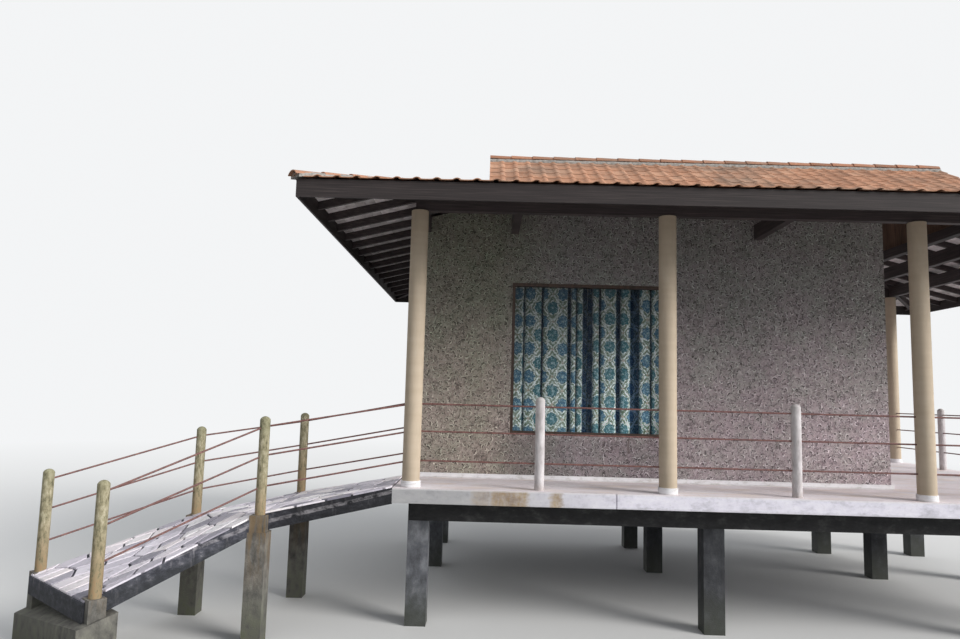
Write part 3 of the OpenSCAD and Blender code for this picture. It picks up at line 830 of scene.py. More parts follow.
def wall_relief(look, lumps):
    """Large and small hooks over grains and lumps."""
    run = look.plus(look.axis(0), look.axis(1))
    plan = look.put("CombineXYZ", 0, {0: run, 1: look.axis(2), 2: 0.0})
    plan = look.shaken(plan, 0.060, HOOK_DRIFT)
    ridge, hollow = wall_hooks(look, plan, HOOK_SIZE, 0.0)
    small_ridge, small_hollow = wall_hooks(look, plan, SMALL_HOOK, 0.37)
    ridge = look.calc("MAXIMUM", ridge, look.times(small_ridge, 0.7))
    hollow = look.calc("MAXIMUM", hollow, look.times(small_hollow, 0.7))
    height = look.times(look.minus(ridge, hollow), 1.05)
    height = look.plus(height, look.noise(0.024, detail=4.0, rough=0.7), 1.1)
    return look.plus(height, lumps, 0.9)


def wall_stains_and_painted_light(look, colour, lumps):
    """Patches of two tints and one crack, with painted shade high up under the eaves and at the left
    end, darker and greener there, and painted light growing towards the right.
    """
    x = look.plan(0)
    z = look.height()
    patches = look.noise(0.30, detail=4.0, rough=0.65)
    colour = look.tint(1.0, colour, look.cover(PINKISH, GREENISH, patches, 0.40, 0.62))
    broad = look.noise((0.7, 0.7, 1.2), detail=4.0)
    colour = look.tint(look.span(broad, 0.42, 0.68, 0.0, 0.5), colour, (0.84, 0.90, 0.86))
    # Painted shade under the eaves: darker and greener towards the top.
    high = look.span(z, 0.7, 2.6, 0.0, 0.8)
    colour = look.tint(high, colour, (0.66, 0.77, 0.71))
    # Painted light: lighter towards the right end of the wall.
    colour = look.shade(colour, look.span(x, -1.0, 1.7, 1.0, 1.24))
    # Painted shade of the plants at the left end: a little darker and greener.
    colour = look.tint(look.span(x, -3.6, -2.6, 0.9, 0.0), colour, (0.95, 0.98, 0.80))
    under = look.times(look.band(x, -3.20, -1.35, 0.35),
                       look.span(z, 0.50, 0.62, 1.0, 0.0))
    colour = look.tint(under, colour, (0.70, 0.72, 0.72))
    wander = look.plus(x, look.minus(lumps, 0.5), 0.05)
    crack = look.times(look.band(wander, -1.752, -1.738, 0.012),
                       look.band(z, 0.39, 0.56, 0.03))
    return look.mix(look.times(crack, 0.6), colour, (0.10, 0.075, 0.065))


def look_wall():
    """Rough cast render: hooked ridges and pits thrown close together, coloured from the relief with
    painted shade in the pits and hollows and painted highlights on the ridges.
    """
    look = Look("rough_cast_wall", rough=0.95, gloss=0.2)
    lumps = look.noise(0.06, detail=3.0, rough=0.6)
    height = wall_relief(look, lumps)
    # Colour taken from the relief height: painted shade in the hollows, painted highlights on the
    # ridges.
    colour = look.ramp(height, 0.0, 2.1, (0.0, WALL_PAINTED_SHADE), (0.28, WALL_DIM), (0.50, WALL_MID),
                       (0.70, WALL_PALE), (1.0, WALL_PAINTED_HIGHLIGHT))
    # Dark strokes of painted shade and pale strokes of painted highlight.
    dark = look.times(wall_worms(look, 0.080, 0.052, 3.1), 0.60)
    colour = look.mix(dark, colour, WALL_PAINTED_SHADE)
    bright = look.times(wall_worms(look, 0.074, 0.036, 9.7), 0.32)
    colour = look.mix(bright, colour, WALL_PAINTED_HIGHLIGHT)
    return look.finish(wall_stains_and_painted_light(look, colour, lumps), height, 0.008)


def look_column():
    """Cream paint with a few faint rings and stains."""
    look = Look("column_paint", rough=0.75)
    bands = look.noise((0.6, 0.6, 0.09), detail=3.0, rough=0.5)
    blots = look.noise((0.09, 0.09, 0.35), detail=4.0, rough=0.6)
    pits = look.noise(0.006, detail=2.0)
    colour = look.cover((0.56, 0.455, 0.335), (0.61, 0.505, 0.385), bands, 0.30, 0.70)
    colour = look.covers(colour, ((0.44, 0.365, 0.27), blots, 0.50, 0.75, 0.0, 0.45),
                         ((0.64, 0.565, 0.45), blots, 0.28, 0.42, 0.4, 0.0),
                         ((0.36, 0.29, 0.215), look.height(), 0.05, 0.40, 0.3, 0.0))
    return look.finish(colour, look.plus(blots, pits, 0.35), 0.002)


def look_white_cement():
    """White paint on cement, soiled where it meets the floor."""
    look = Look("white_cement", rough=0.8)
    blots = look.noise((0.12, 0.12, 0.05), detail=5.0, rough=0.65)
    colour = look.tones(blots, 0.32, 0.68, (0.64, 0.62, 0.61), (0.86, 0.85, 0.87),
                        (0.94, 0.93, 0.95), 0.45)
    colour = look.cover(colour, (0.36, 0.32, 0.28), look.height(), 0.0, 0.02, 0.5, 0.0)
    return look.finish(colour, look.noise(0.01, detail=2.0), 0.0015)


# Rust on the front edge of the platform: left end, right end and strength
RUST_STAINS = ((-3.770, -3.560, 0.55), (-3.570, -3.110, 0.95), (-2.872, -2.732, 1.0))


def slab_top(look, broad, fine):
    top = look.tones(broad, 0.30, 0.70, (0.70, 0.61, 0.61), (0.92, 0.835, 0.87), (0.97, 0.92, 0.96))
    top = look.cover(top, (0.55, 0.48, 0.47), fine, 0.50, 0.75, 0.0, 0.35)
    warm = look.noise((0.5, 0.25, 0.4), detail=4.0, move=(4, 4, 4))
    return look.cover(top, (0.88, 0.70, 0.56), warm, 0.52, 0.70, 0.0, 0.5)


def slab_side(look, blots, fine):
    side = look.tones(blots, 0.30, 0.70, (0.60, 0.585, 0.65), (0.835, 0.81, 0.905),
                      (0.94, 0.92, 0.99), 0.45)
    side = look.cover(side, (0.50, 0.48, 0.48), fine, 0.55, 0.78, 0.0, 0.4)
    # Painted shade: the left end of the edge darker and greener.
    side = look.tint(look.span(look.plan(0), -3.9, -1.9, 1.0, 0.0), side, (0.52, 0.53, 0.49))
    height = look.plus(look.height(), blots, 0.05)
    return look.cover(side, (0.40, 0.40, 0.39), height, -0.155, -0.115, 0.45, 0.0)


def slab_rust(look, blots, fine):
    """How much rust there is, on the front edge only."""
    wobble = look.plus(look.plan(0), look.minus(blots, 0.5), 0.22)
    rust = 0.0
    for start, end, strength in RUST_STAINS:
        spot = look.times(look.band(wobble, start + 0.04, end - 0.04, 0.06), strength)
        rust = look.calc("MAXIMUM", rust, spot)
    streak = look.noise((0.03, 0.03, 0.22), detail=4.0, rough=0.7)
    rust = look.times(rust, look.span(look.plan(1), -3.149, -3.140, 1.0, 0.0))
    rust = look.times(rust, look.span(streak, 0.28, 0.62, 0.70, 1.0))
    return look.times(rust, look.span(fine, 0.30, 0.62, 0.65, 1.0))


def look_slab():
    """Cement, pinkish on top and whiter at the edge, with the rust on its front and painted shade
    over the left end of the edge.
    """
    look = Look("slab_cement", rough=0.85)
    broad = look.noise((0.8, 0.5, 0.4), detail=5.0, rough=0.6)
    fine = look.noise(0.05, detail=4.0, rough=0.65)
    blots = look.noise((0.16, 0.16, 0.09), detail=5.0, rough=0.65)
    z = look.height()
    stain = look.cover((0.27, 0.18, 0.10), (0.46, 0.34, 0.20), blots, 0.35, 0.65)
    side = look.mix(slab_rust(look, blots, fine), slab_side(look, blots, fine), stain)
    colour = look.cover(side, slab_top(look, broad, fine), z, -0.004, -0.001)
    edge = look.band(z, -0.016, -0.002, 0.003)
    colour = look.mix(look.times(edge, 0.45), colour, (0.85, 0.82, 0.82))
    return look.finish(colour, look.plus(fine, broad, 0.5), 0.003)


def look_post():
    """Pale grey paint, mossy at the top and soiled at the foot."""
    look = Look("post_paint", rough=0.75)
    z = look.height()
    blots = look.noise((0.06, 0.06, 0.14), detail=5.0, rough=0.6)
    fine = look.noise(0.007, detail=2.0)
    colour = look.ramp(blots, 0.28, 0.72, (0.0, (0.44, 0.405, 0.405)), (0.42, (0.62, 0.58, 0.585)),
                       (0.75, (0.70, 0.665, 0.67)), (1.0, (0.80, 0.77, 0.775)))
    moss = look.times(look.span(z, 0.95, 1.07), look.span(blots, 0.40, 0.62, 0.0, 0.4))
    colour = look.mix(moss, colour, (0.33, 0.33, 0.27))
    colour = look.cover(colour, (0.33, 0.27, 0.235), z, 0.0, 0.10, 0.45, 0.0)
    return look.finish(colour, look.plus(blots, fine, 0.4), 0.002)


def bridge_height(look):
    """Height above the bridge deck, near enough for stains."""
    fall = look.plus(look.times(look.plus(look.plan(0), 6.12), 0.215),
                     look.times(look.plus(look.plan(1), 2.5), 0.140))
    return look.minus(look.height(), look.minus(fall, 0.245))


def look_bridge_post():
    """Bare concrete, brown at the foot and a little green at the top."""
    look = Look("bridge_post_concrete", rough=0.85)
    height = bridge_height(look)
    blots = look.noise((0.035, 0.035, 0.085), detail=6.0, rough=0.75)
    fine = look.noise(0.007, detail=2.0)
    colour = look.tones(blots, 0.34, 0.66, (0.105, 0.097, 0.056), (0.300, 0.270, 0.168),
                        (0.56, 0.505, 0.365), 0.4)
    moss = look.times(look.span(height, 0.85, 1.05), look.span(blots, 0.35, 0.62, 0.1, 0.65))
    colour = look.mix(moss, colour, (0.235, 0.245, 0.14))
    foot = look.times(look.span(height, 0.05, 0.55, 1.0, 0.0),
                      look.span(blots, 0.42, 0.58, 0.15, 0.80))
    colour = look.mix(foot, colour, (0.31, 0.185, 0.085))
    return look.finish(colour, look.plus(blots, fine, 0.4), 0.003)


def look_rod(name, dark, mid, pale):
    """Paint on steel, dull and blotched."""
    look = Look(name, rough=0.5, gloss=0.5)
    blots = look.noise(0.035, detail=4.0, rough=0.65)
    colour = look.tones(blots, 0.32, 0.70, dark, mid, pale)
    look.set("Roughness", look.span(blots, 0.3, 0.7, 0.42, 0.7))
    return look.finish(colour, look.noise(0.004, detail=2.0), 0.0006)


def look_wood(name, dark, mid, pale, size, rough=0.7, relief=0.002):
    """Timber whose grain is stretched along the largest of the three sizes."""
    look = Look(name, rough=rough)
    grain = look.noise(size, detail=5.0, rough=0.65, warp=0.3)
    broad = look.noise(tuple(4 * s for s in size), detail=3.0)
    colour = look.tones(grain, 0.30, 0.72, dark, mid, pale)
    colour = look.cover(colour, dark, broad, 0.35, 0.65, 0.35, 0.0)
    return look.finish(colour, grain, relief)


def look_boards(name, dark, mid, pale, size):
    """Boards that each have their own tone and their own piece of the grain."""
    look = Look(name, rough=0.85)
    tone = look.tone()
    shift = look.put("CombineXYZ", 0, {0: look.times(tone, 31.0), 1: look.times(tone, 17.0),
                                       2: 0.0})
    look.where = look.vector("ADD", look.where, shift)
    grain = look.noise(size, detail=5.0, rough=0.65, warp=0.2)
    stains = look.noise(0.30, detail=4.0, rough=0.6)
    colour = look.tones(grain, 0.30, 0.72, dark, mid, pale)
    colour = look.shade(colour, look.span(tone, 0.0, 1.0, 0.78, 1.14))
    colour = look.cover(colour, dark, stains, 0.56, 0.76, 0.0, 0.5)
    return look.finish(colour, grain, 0.0015)


def look_tile(name, base):
    """Fired clay: a tone of its own for each tile, lichen and pale dust over all."""
    look = Look(name, rough=0.85, gloss=0.3)
    blots = look.noise(0.11, detail=5.0, rough=0.65)
    broad = look.noise(1.1, detail=4.0)
    fine = look.noise(0.006, detail=3.0)
    dark = tuple(c * 0.70 for c in base)
    pale = (base[0] * 1.16, base[1] * 1.28, base[2] * 1.36)
    colour = look.ramp(look.tone(), 0.0, 1.0, (0.0, dark), (0.35, base), (0.8, base), (1.0, pale))
    colour = look.covers(colour, ((0.30, 0.20, 0.145), blots, 0.50, 0.72, 0.0, 0.6),
                         ((0.62, 0.45, 0.34), blots, 0.28, 0.42, 0.55, 0.0),
                         ((0.22, 0.185, 0.15), broad, 0.50, 0.70, 0.0, 0.55))
    return look.finish(colour, look.plus(fine, blots, 0.6), 0.0025)


def look_mortar():
    look = Look("mortar", rough=0.95, gloss=0.2)
    blots = look.noise(0.05, detail=5.0, rough=0.65)
    colour = look.tones(blots, 0.3, 0.7, (0.20, 0.19, 0.17), (0.37, 0.355, 0.33),
                        (0.50, 0.48, 0.45))
    return look.finish(colour, blots, 0.006)


def look_pier():
    """Damp concrete, darkened with painted shade for the deep shade under the deck, and lighter at
    the left end with painted light.
    """
    look = Look("damp_concrete", rough=0.85)
    blots = look.noise((0.16, 0.16, 0.24), detail=5.0, rough=0.65)
    fine = look.noise(0.012, detail=3.0)
    marks = look.noise((1.5, 1.5, 0.045), detail=1.0)
    # Painted shade: far darker tones than the concrete has in light.
    colour = look.tones(blots, 0.30, 0.72, (0.024, 0.025, 0.028), (0.050, 0.052, 0.058),
                        (0.100, 0.103, 0.110), 0.45)
    # Painted light on the piers at the left end.
    colour = look.shade(colour, look.span(look.plan(0), -4.0, -3.0, 2.6, 1.0))
    tide = look.plus(look.axis(2), look.minus(blots, 0.5), 0.5)
    colour = look.cover(colour, (0.045, 0.050, 0.036), tide, 0.10, 0.55, 0.75, 0.0)
    look.set("Roughness", look.span(tide, 0.05, 0.6, 0.55, 0.9))
    return look.finish(colour, look.plus(fine, marks, 0.5), 0.004)


def look_bridge_pier():
    """Grey concrete with brown runs below the post and moss at the foot."""
    look = Look("bridge_pier_concrete", rough=0.85)
    z = look.axis(2)
    blots = look.noise((0.10, 0.10, 0.16), detail=5.0, rough=0.65)
    runs = look.noise((0.05, 0.05, 0.40), detail=4.0, rough=0.65)
    fine = look.noise(0.012, detail=3.0)
    colour = look.tones(blots, 0.30, 0.72, (0.070, 0.068, 0.062), (0.155, 0.148, 0.135),
                        (0.30, 0.285, 0.255), 0.45)
    brown = look.times(look.span(runs, 0.42, 0.60), look.span(z, 0.55, 1.15, 0.0, 0.7))
    colour = look.mix(brown, colour, (0.235, 0.155, 0.075))
    moss = look.times(look.span(blots, 0.35, 0.60), look.span(z, 0.10, 0.70, 0.75, 0.0))
    colour = look.mix(moss, colour, (0.075, 0.090, 0.045))
    return look.finish(colour, look.plus(fine, blots, 0.7), 0.005)


def look_under_beam():
    """Beams under the deck, blotched and painted nearly black as painted shade."""
    look = Look("black_concrete_painted_shade", rough=0.8)
    blots = look.noise((0.20, 0.20, 0.12), detail=5.0, rough=0.65)
    # Painted shade: near black, for the deep shade under the deck.
    colour = look.tones(blots, 0.30, 0.72, (0.018, 0.018, 0.019), (0.036, 0.036, 0.037),
                        (0.085, 0.085, 0.083), 0.6)
    return look.finish(colour, look.plus(look.noise(0.012, detail=3.0), blots), 0.004)


def look_bridge_deck():
    """Dark blue-grey concrete with pale blotches and a few runs down its sides, and painted shade on
    the span next to the platform.
    """
    look = Look("bridge_concrete", rough=0.85)
    streak = look.noise((0.07, 0.07, 0.30), detail=4.0, rough=0.65)
    blots = look.noise((0.12, 0.12, 0.07), detail=5.0, rough=0.7)
    height = bridge_height(look)
    colour = look.ramp(blots, 0.30, 0.72, (0.0, (0.020, 0.021, 0.028)),
                       (0.45, (0.052, 0.054, 0.070)), (0.75, (0.115, 0.117, 0.142)),
                       (1.0, (0.33, 0.32, 0.35)))
    colour = look.covers(colour, ((0.36, 0.345, 0.37), streak, 0.58, 0.74, 0.0, 0.55),
                         ((0.026, 0.029, 0.030), height, -0.16, -0.05, 0.6, 0.0))
    # Painted shade: darker on the span next to the platform.
    colour = look.shade(colour, look.span(look.plan(0), -6.4, -5.7, 0.92, 0.24))
    worn = look.times(look.band(height, -0.030, 0.004, 0.008),
                      look.span(blots, 0.40, 0.62, 0.0, 0.5))
    colour = look.mix(worn, colour, (0.42, 0.40, 0.42))
    return look.finish(colour, look.plus(look.noise(0.012, detail=3.0), blots), 0.005)


def look_stone():
    """Slate, each stone its own grey, the palest tones partly a painted reflection of the sky, wet
    and worn in patches.
    """
    look = Look("slate_paving", rough=0.6)
    blots = look.noise(0.10, detail=5.0, rough=0.65)
    fine = look.noise(0.012, detail=4.0, rough=0.6)
    # The pale tones are partly the slate's own grey and partly a painted reflection of the sky.
    colour = look.ramp(look.tone(), 0.0, 1.0, (0.0, (0.24, 0.23, 0.28)),
                       (0.18, (0.60, 0.565, 0.64)), (0.42, (0.88, 0.83, 0.91)),
                       (0.75, (0.95, 0.88, 0.90)), (1.0, (0.98, 0.96, 0.98)))
    colour = look.covers(colour, ((0.24, 0.22, 0.25), blots, 0.56, 0.70, 0.0, 0.75),
                         ((0.93, 0.90, 0.94), blots, 0.28, 0.42, 0.65, 0.0))
    look.set("Roughness", look.span(blots, 0.35, 0.65, 0.75, 0.45))
    return look.finish(colour, look.plus(fine, blots, 1.2), 0.004)


def look_glass():
    """Thin clear glass with a little dust."""
    look = Look("window_glass", rough=0.02, gloss=0.5)
    dust = look.noise(0.25, detail=4.0)
    look.set("Base Color", look.cover((0.015, 0.020, 0.020), (0.06, 0.065, 0.06), dust, 0.4, 0.8))
    look.set("Alpha", 0.10)
    return look


# The curtains: the print, and the strips of cloth between folds as the photo shows them
PRINT_WIDE = 0.280
PRINT_HIGH = 0.380
MEDAL_WIDE = 0.078
MEDAL_HIGH = 0.088
PRINT_WOBBLE = 0.055
FOLD_SHADE = (0.10, 0.15, 0.24)
MEDALLIONS = ((0.5, (0.020, 0.092, 0.118), (0.070, 0.232, 0.280)),
              (0.0, (0.024, 0.085, 0.155), (0.085, 0.232, 0.365)))
CLOTH_FRONT = 0.006
CLOTH_DEEP = 0.076
CLOTH_ROWS = 26
CLOTH_SWAY = 0.004
CLOTH_WAVES = 5.0
CLOTH_TURN = 2.0
CLOTH_EDGE = 0.05
STRIP_WIDE = (0.09, 0.24)
STRIP_APART = (0.010, 0.050)
STRIP_LAST = 0.20
# Each strip's rounded ends: how far in, as a share of the rounding, and how deep
PLEAT_ROUND = 0.030
PLEAT_BOW = 0.006
PLEAT_START = ((0.0, 0.040), (0.4, 0.018), (1.0, 0.006))
PLEAT_END = ((1.0, 0.002), (0.4, 0.008), (0.0, 0.026))
LEFT_STRIPS = ((-3.380, -3.150), (-3.141, -2.907), (-2.888, -2.546), (-2.502, -2.428),
               (-2.420, -2.335))
RIGHT_STRIPS = ((-2.206, -2.114), (-2.095, -1.875), (-1.820, -1.681), (-1.559, -1.410),
                (-1.395, -1.150))
MEETING = -2.268
MEETING_GAP = 0.003
BACK_OPEN = 0.080
LEFT_MARK = (-2.733, 2.444)
RIGHT_MARK = (-1.962, 2.691)


def within(look, value, shift, size):
    """The distance along one axis from the middle of the nearest repeat."""
    part = look.calc("FRACT", look.plus(value, shift))
    return look.times(look.minus(part, 0.5), size)


def far_from(look, across, up):
    squares = look.plus(look.times(across, across), look.times(up, up))
    return look.calc("SQRT", squares)


def medallion(look, colour, u, v, specks, shift, deep, mid):
    """A flower of rings in two blues, with a pale halo, on the cloth's colour."""
    across = look.calc("DIVIDE", within(look, u, shift, PRINT_WIDE), MEDAL_WIDE)
    up = look.calc("DIVIDE", within(look, v, shift, PRINT_HIGH), MEDAL_HIGH)
    petal = look.calc("COSINE", look.times(look.calc("ARCTAN2", up, across), 8.0))
    far = look.minus(far_from(look, across, up), look.times(petal, 0.08))
    flower = look.ramp(far, 0.0, 1.25, (0.0, (0.40, 0.56, 0.58)), (0.08, (0.30, 0.46, 0.50)),
                       (0.16, deep), (0.32, mid), (0.46, deep), (0.60, mid), (0.72, deep))
    flower = look.cover(flower, (0.42, 0.62, 0.70), specks, 0.52, 0.60, 0.0, 0.8)
    halo = look.times(look.band(far, 1.05, 1.15, 0.06), look.span(specks, 0.44, 0.54))
    colour = look.mix(halo, colour, (0.88, 0.98, 1.0))
    return look.cover(colour, flower, far, 0.90, 1.06, 0.94, 0.0)


def print_ground(look, line, specks):
    """Flecked cloth with a pale chain along the lattice and leaves beside it."""
    flecks = look.noise(0.036, detail=5.0, rough=0.8, move=(3, 5, 7))
    colour = look.ramp(flecks, 0.0, 1.0, (0.34, (0.06, 0.10, 0.06)), (0.45, (0.18, 0.26, 0.20)),
                       (0.54, (0.42, 0.54, 0.52)), (0.64, (0.86, 0.96, 1.0)))
    chain = look.times(look.span(line, 0.04, 0.11, 1.0, 0.0),
                       look.span(specks, 0.42, 0.54, 0.05, 1.0))
    colour = look.mix(chain, colour, (0.92, 1.0, 1.0))
    leaf = look.times(look.band(line, 0.17, 0.23, 0.03), look.span(flecks, 0.42, 0.58))
    return look.mix(leaf, colour, (0.17, 0.20, 0.08))


def look_curtain():
    """Blue and teal medallions in a pale diamond lattice, all of it broken into specks, with painted
    shade in the folds and at the top and painted light towards the bottom and the right.
    """
    look = Look("printed_curtain", rough=0.9, gloss=0.2)
    look.set("Sheen Weight", 0.1)
    uv = look.shaken(look.put("TexCoord", "UV"), 0.045, PRINT_WOBBLE)
    u = look.calc("DIVIDE", look.axis(0, uv), PRINT_WIDE)
    v = look.calc("DIVIDE", look.axis(1, uv), PRINT_HIGH)
    across = look.size_of(within(look, u, 0.5, PRINT_WIDE))
    up = look.size_of(within(look, v, 0.5, PRINT_HIGH))
    lattice = look.plus(look.calc("DIVIDE", across, PRINT_WIDE / 2),
                        look.calc("DIVIDE", up, PRINT_HIGH / 2))
    specks = look.noise(0.026, detail=4.0, rough=0.8)
    colour = print_ground(look, look.size_of(look.minus(lattice, 1.0)), specks)
    for kind in MEDALLIONS:
        colour = medallion(look, colour, u, v, specks, *kind)
    buds = look.calc("MINIMUM", far_from(look, look.minus(PRINT_WIDE / 2, across), up),
                     far_from(look, across, look.minus(PRINT_HIGH / 2, up)))
    colour = look.cover(colour, (0.30, 0.23, 0.14), buds, 0.014, 0.024, 0.6, 0.0)
    thread = look.noise(0.0015, detail=1.0)
    # Painted light and shade: lighter towards the bottom, darker towards the top.
    high = look.span(look.height(), 0.6, 2.5, 1.85, 0.75)
    colour = look.shade(colour, look.span(thread, 0.3, 0.7, 0.90, 1.06))
    colour = look.shade(colour, high)
    # Painted light: lighter towards the right.
    colour = look.shade(colour, look.span(look.plan(0), -2.4, -1.3, 0.97, 1.5))
    # Painted shade in the folds, deeper with the tone attribute, which holds the fold depth.
    colour = look.tint(look.span(look.tone(), 0.04, 0.75), colour, FOLD_SHADE)
    return look.finish(colour, thread, 0.0006)


def any_strips(x0, x1, rng):
    """Flat strips of cloth between folds, for a curtain that the photo does not show."""
    strips = []
    x = x0
    while x1 - x > STRIP_LAST:
        end = x + rng.uniform(*STRIP_WIDE)
        strips.append((x, end))
        x = end + rng.uniform(*STRIP_APART)
    strips.append((x, x1))
    return strips


def pleat_path(strips, meet, y_front, way, rng):
    """Plan points of a gathered curtain: rounded strips with a deep fold between them, and
    a last deep fold that reaches to x = meet, where the other curtain begins."""
    points = []
    deep = y_front + way * CLOTH_DEEP
    if strips[0][0] > meet:
        for part in (0.0, 0.5, 0.95):
            points.append((meet + (strips[0][0] - meet) * part, deep))
    for number, (x0, x1) in enumerate(strips):
        rounding = min(PLEAT_ROUND, (x1 - x0) * 0.3)
        points += [(x0 + rounding * part, y_front + way * swell) for part, swell in PLEAT_START]
        points.append(((x0 + x1) / 2, y_front + way * rng.uniform(0.0, PLEAT_BOW)))
        points += [(x1 - rounding * part, y_front + way * swell) for part, swell in PLEAT_END]
        if number + 1 < len(strips):
            gap = strips[number + 1][0] - x1
            for part in (0.05, 0.35, 0.65, 0.95):
                points.append((x1 + gap * part, deep))
    last = strips[-1][1]
    if last < meet:
        for part in (0.05, 0.5, 1.0):
            points.append((last + (meet - last) * part, deep))
    return points


def round_path(points):
    """The same path with its corners cut."""
    finer = [points[0]]
    for a, b in zip(points, points[1:]):
        finer.append((a[0] * 0.75 + b[0] * 0.25, a[1] * 0.75 + b[1] * 0.25))
        finer.append((a[0] * 0.25 + b[0] * 0.75, a[1] * 0.25 + b[1] * 0.75))
    finer.append(points[-1])
    return finer


def curtain_mesh(name, path, lengths, y_front, z0, z1, mark, phase):
    """The sheet that hangs from a plan path, with its print laid out flat from the mark."""
    nearest = min(range(len(path)), key=lambda i: abs(path[i][0] - mark[0]))
    verts = []
    flat = []
    for row in range(CLOTH_ROWS):
        part = row / (CLOTH_ROWS - 1)
        z = z0 + (z1 - z0) * part
        for (x, y), run in zip(path, lengths):
            wave = math.sin(CLOTH_WAVES * run + phase + CLOTH_TURN * part)
            sway = CLOTH_SWAY * (1 - part) * wave
            edge = min(CLOTH_EDGE, x - path[0][0], path[-1][0] - x) / CLOTH_EDGE
            verts.append(Vector((x + sway * max(edge, 0.0), y, z)))
            flat.append((run - lengths[nearest], z - mark[1]))
    mesh = bpy.data.meshes.new(name)
    mesh.from_pydata(verts, [], list(quads(len(path), CLOTH_ROWS)))
    # The tone attribute holds the depth of each fold, which the curtain's colour turns into painted
    # shade.
    depth = mesh.attributes.new("tone", "FLOAT", "POINT")
    depth.data.foreach_set("value", [abs(v.y - y_front) / CLOTH_DEEP for v in verts])
    print_map = mesh.uv_layers.new(name="flat")
    for loop in mesh.loops:
        print_map.data[loop.index].uv = flat[loop.vertex_index]
    mesh.shade_smooth()
    return mesh


def hang_curtain(name, look, stands_for, strips, meet, y_front, way, z0, z1, mark, rng):
    """A gathered sheet through the given strips of cloth."""
    path = round_path(pleat_path(strips, meet, y_front, way, rng))
    lengths = [0.0]
    for a, b in zip(path, path[1:]):
        lengths.append(lengths[-1] + math.hypot(b[0] - a[0], b[1] - a[1]))
    mesh = curtain_mesh(name, path, lengths, y_front, z0, z1, mark, rng.uniform(0, 6))
    obj = add_piece(name, mesh, look, [stands_for])


def make_curtains(look):
    rng = random.Random(67)
    low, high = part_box("front_curtains")
    for side, strips, meet, mark in (("left", LEFT_STRIPS, MEETING - MEETING_GAP, LEFT_MARK),
                                     ("right", RIGHT_STRIPS, MEETING + MEETING_GAP, RIGHT_MARK)):
        placed = [(MID.x + a, MID.x + b) for a, b in strips]
        hang_curtain("front_curtain_" + side, look, "front_curtains", placed, MID.x + meet,
                     low.y + CLOTH_FRONT, 1, low.z, high.z, (MID.x + mark[0], mark[1]), rng)
    low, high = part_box("back_curtains")
    middle = (low.x + high.x) / 2
    for side, x0, x1, meet in (("left", low.x, middle - BACK_OPEN, middle - MEETING_GAP),
                               ("right", middle + BACK_OPEN, high.x, middle + MEETING_GAP)):
        hang_curtain("back_curtain_" + side, look, "back_curtains", any_strips(x0, x1, rng),
                     meet, high.y - CLOTH_FRONT, -1, low.z, high.z, (x0, low.z), rng)


# Dark, middle and pale tone of each paint and timber
JOINERY = ((0.028, 0.016, 0.011), (0.062, 0.036, 0.025), (0.105, 0.062, 0.042))
DOOR = ((0.045, 0.024, 0.015), (0.11, 0.062, 0.037), (0.17, 0.10, 0.06))
RED_PAINT = ((0.085, 0.036, 0.030), (0.180, 0.078, 0.070), (0.29, 0.150, 0.125))
BROWN_PAINT = ((0.055, 0.038, 0.028), (0.100, 0.070, 0.050), (0.16, 0.12, 0.09))
TIMBER = ((0.028, 0.021, 0.021), (0.057, 0.043, 0.044), (0.105, 0.080, 0.076))
FASCIA = ((0.014, 0.010, 0.010), (0.028, 0.021, 0.021), (0.060, 0.046, 0.044))
CEILING = ((0.54, 0.48, 0.475), (0.83, 0.77, 0.775), (0.95, 0.90, 0.91))
GABLE = ((0.07, 0.042, 0.028), (0.165, 0.10, 0.068), (0.25, 0.165, 0.115))
ROOF_CLAY = (0.50, 0.255, 0.155)
CAP_CLAY = (0.45, 0.215, 0.13)


def dress_concrete():
    dress(look_pier(), "piers", edge=0.008)
    dress(look_bridge_pier(), "bridge_piers", "bridge_abutment", edge=0.008)
    dress(look_under_beam(), "long_beams", "cross_beams", edge=0.008)
    dress(look_bridge_deck(), "bridge_deck", edge=0.008)
    dress(look_slab(), "deck_slab", edge=0.006)
    dress(look_white_cement(), "room_floor", "column_rings", edge=0.005)
    dress(look_wall(), "room_walls")
    dress(look_column(), "columns")
    dress(look_post(), "rail_posts")
    dress(look_bridge_post(), "bridge_posts")


def dress_room_and_rails():
    dress(look_wood("dark_joinery", *JOINERY, (0.03, 0.03, 0.4), rough=0.5, relief=0.001),
          "front_window_frame", "back_window_frame", "door_frame", edge=0.004)
    dress(look_wood("door_wood", *DOOR, (0.02, 0.02, 0.4), rough=0.5, relief=0.001),
          "door_leaf", edge=0.003)
    dress(look_glass(), "front_window_glass", "back_window_glass")
    dress(look_rod("rod_paint", *RED_PAINT), "front_rails", "side_rails", "back_rails",
          "bridge_near_rails", "bridge_far_rails")
    dress(look_rod("curtain_rail_paint", *BROWN_PAINT), "curtain_rods")


def dress_timber():
    dress(look_wood("beam_timber", *TIMBER, (0.5, 0.5, 0.012)), "ring_beams", "tie_beams",
          "purlins", "ridge_beam", edge=0.005)
    dress(look_wood("rafter_timber", *TIMBER, (0.10, 0.10, 0.02)), "hip_rafters",
          "skirt_rafters", "upper_rafters", edge=0.003)
    dress(look_wood("stud_timber", *TIMBER, (0.012, 0.012, 0.5)), "roof_studs", edge=0.004)
    dress(look_wood("fascia_timber", *FASCIA, (0.6, 0.6, 0.012)), "fascias", "bargeboards",
          edge=0.004)


# The photograph's view, worked out from the columns, railing and eaves
CAMERA_YAW = math.radians(-0.639)
CAMERA_PITCH = math.radians(6.208)
CAMERA_ROLL = math.radians(1.524)
CAMERA_PLACE = Vector((-3.645, -11.574, 2.702))
CAMERA_LENS = 27.03

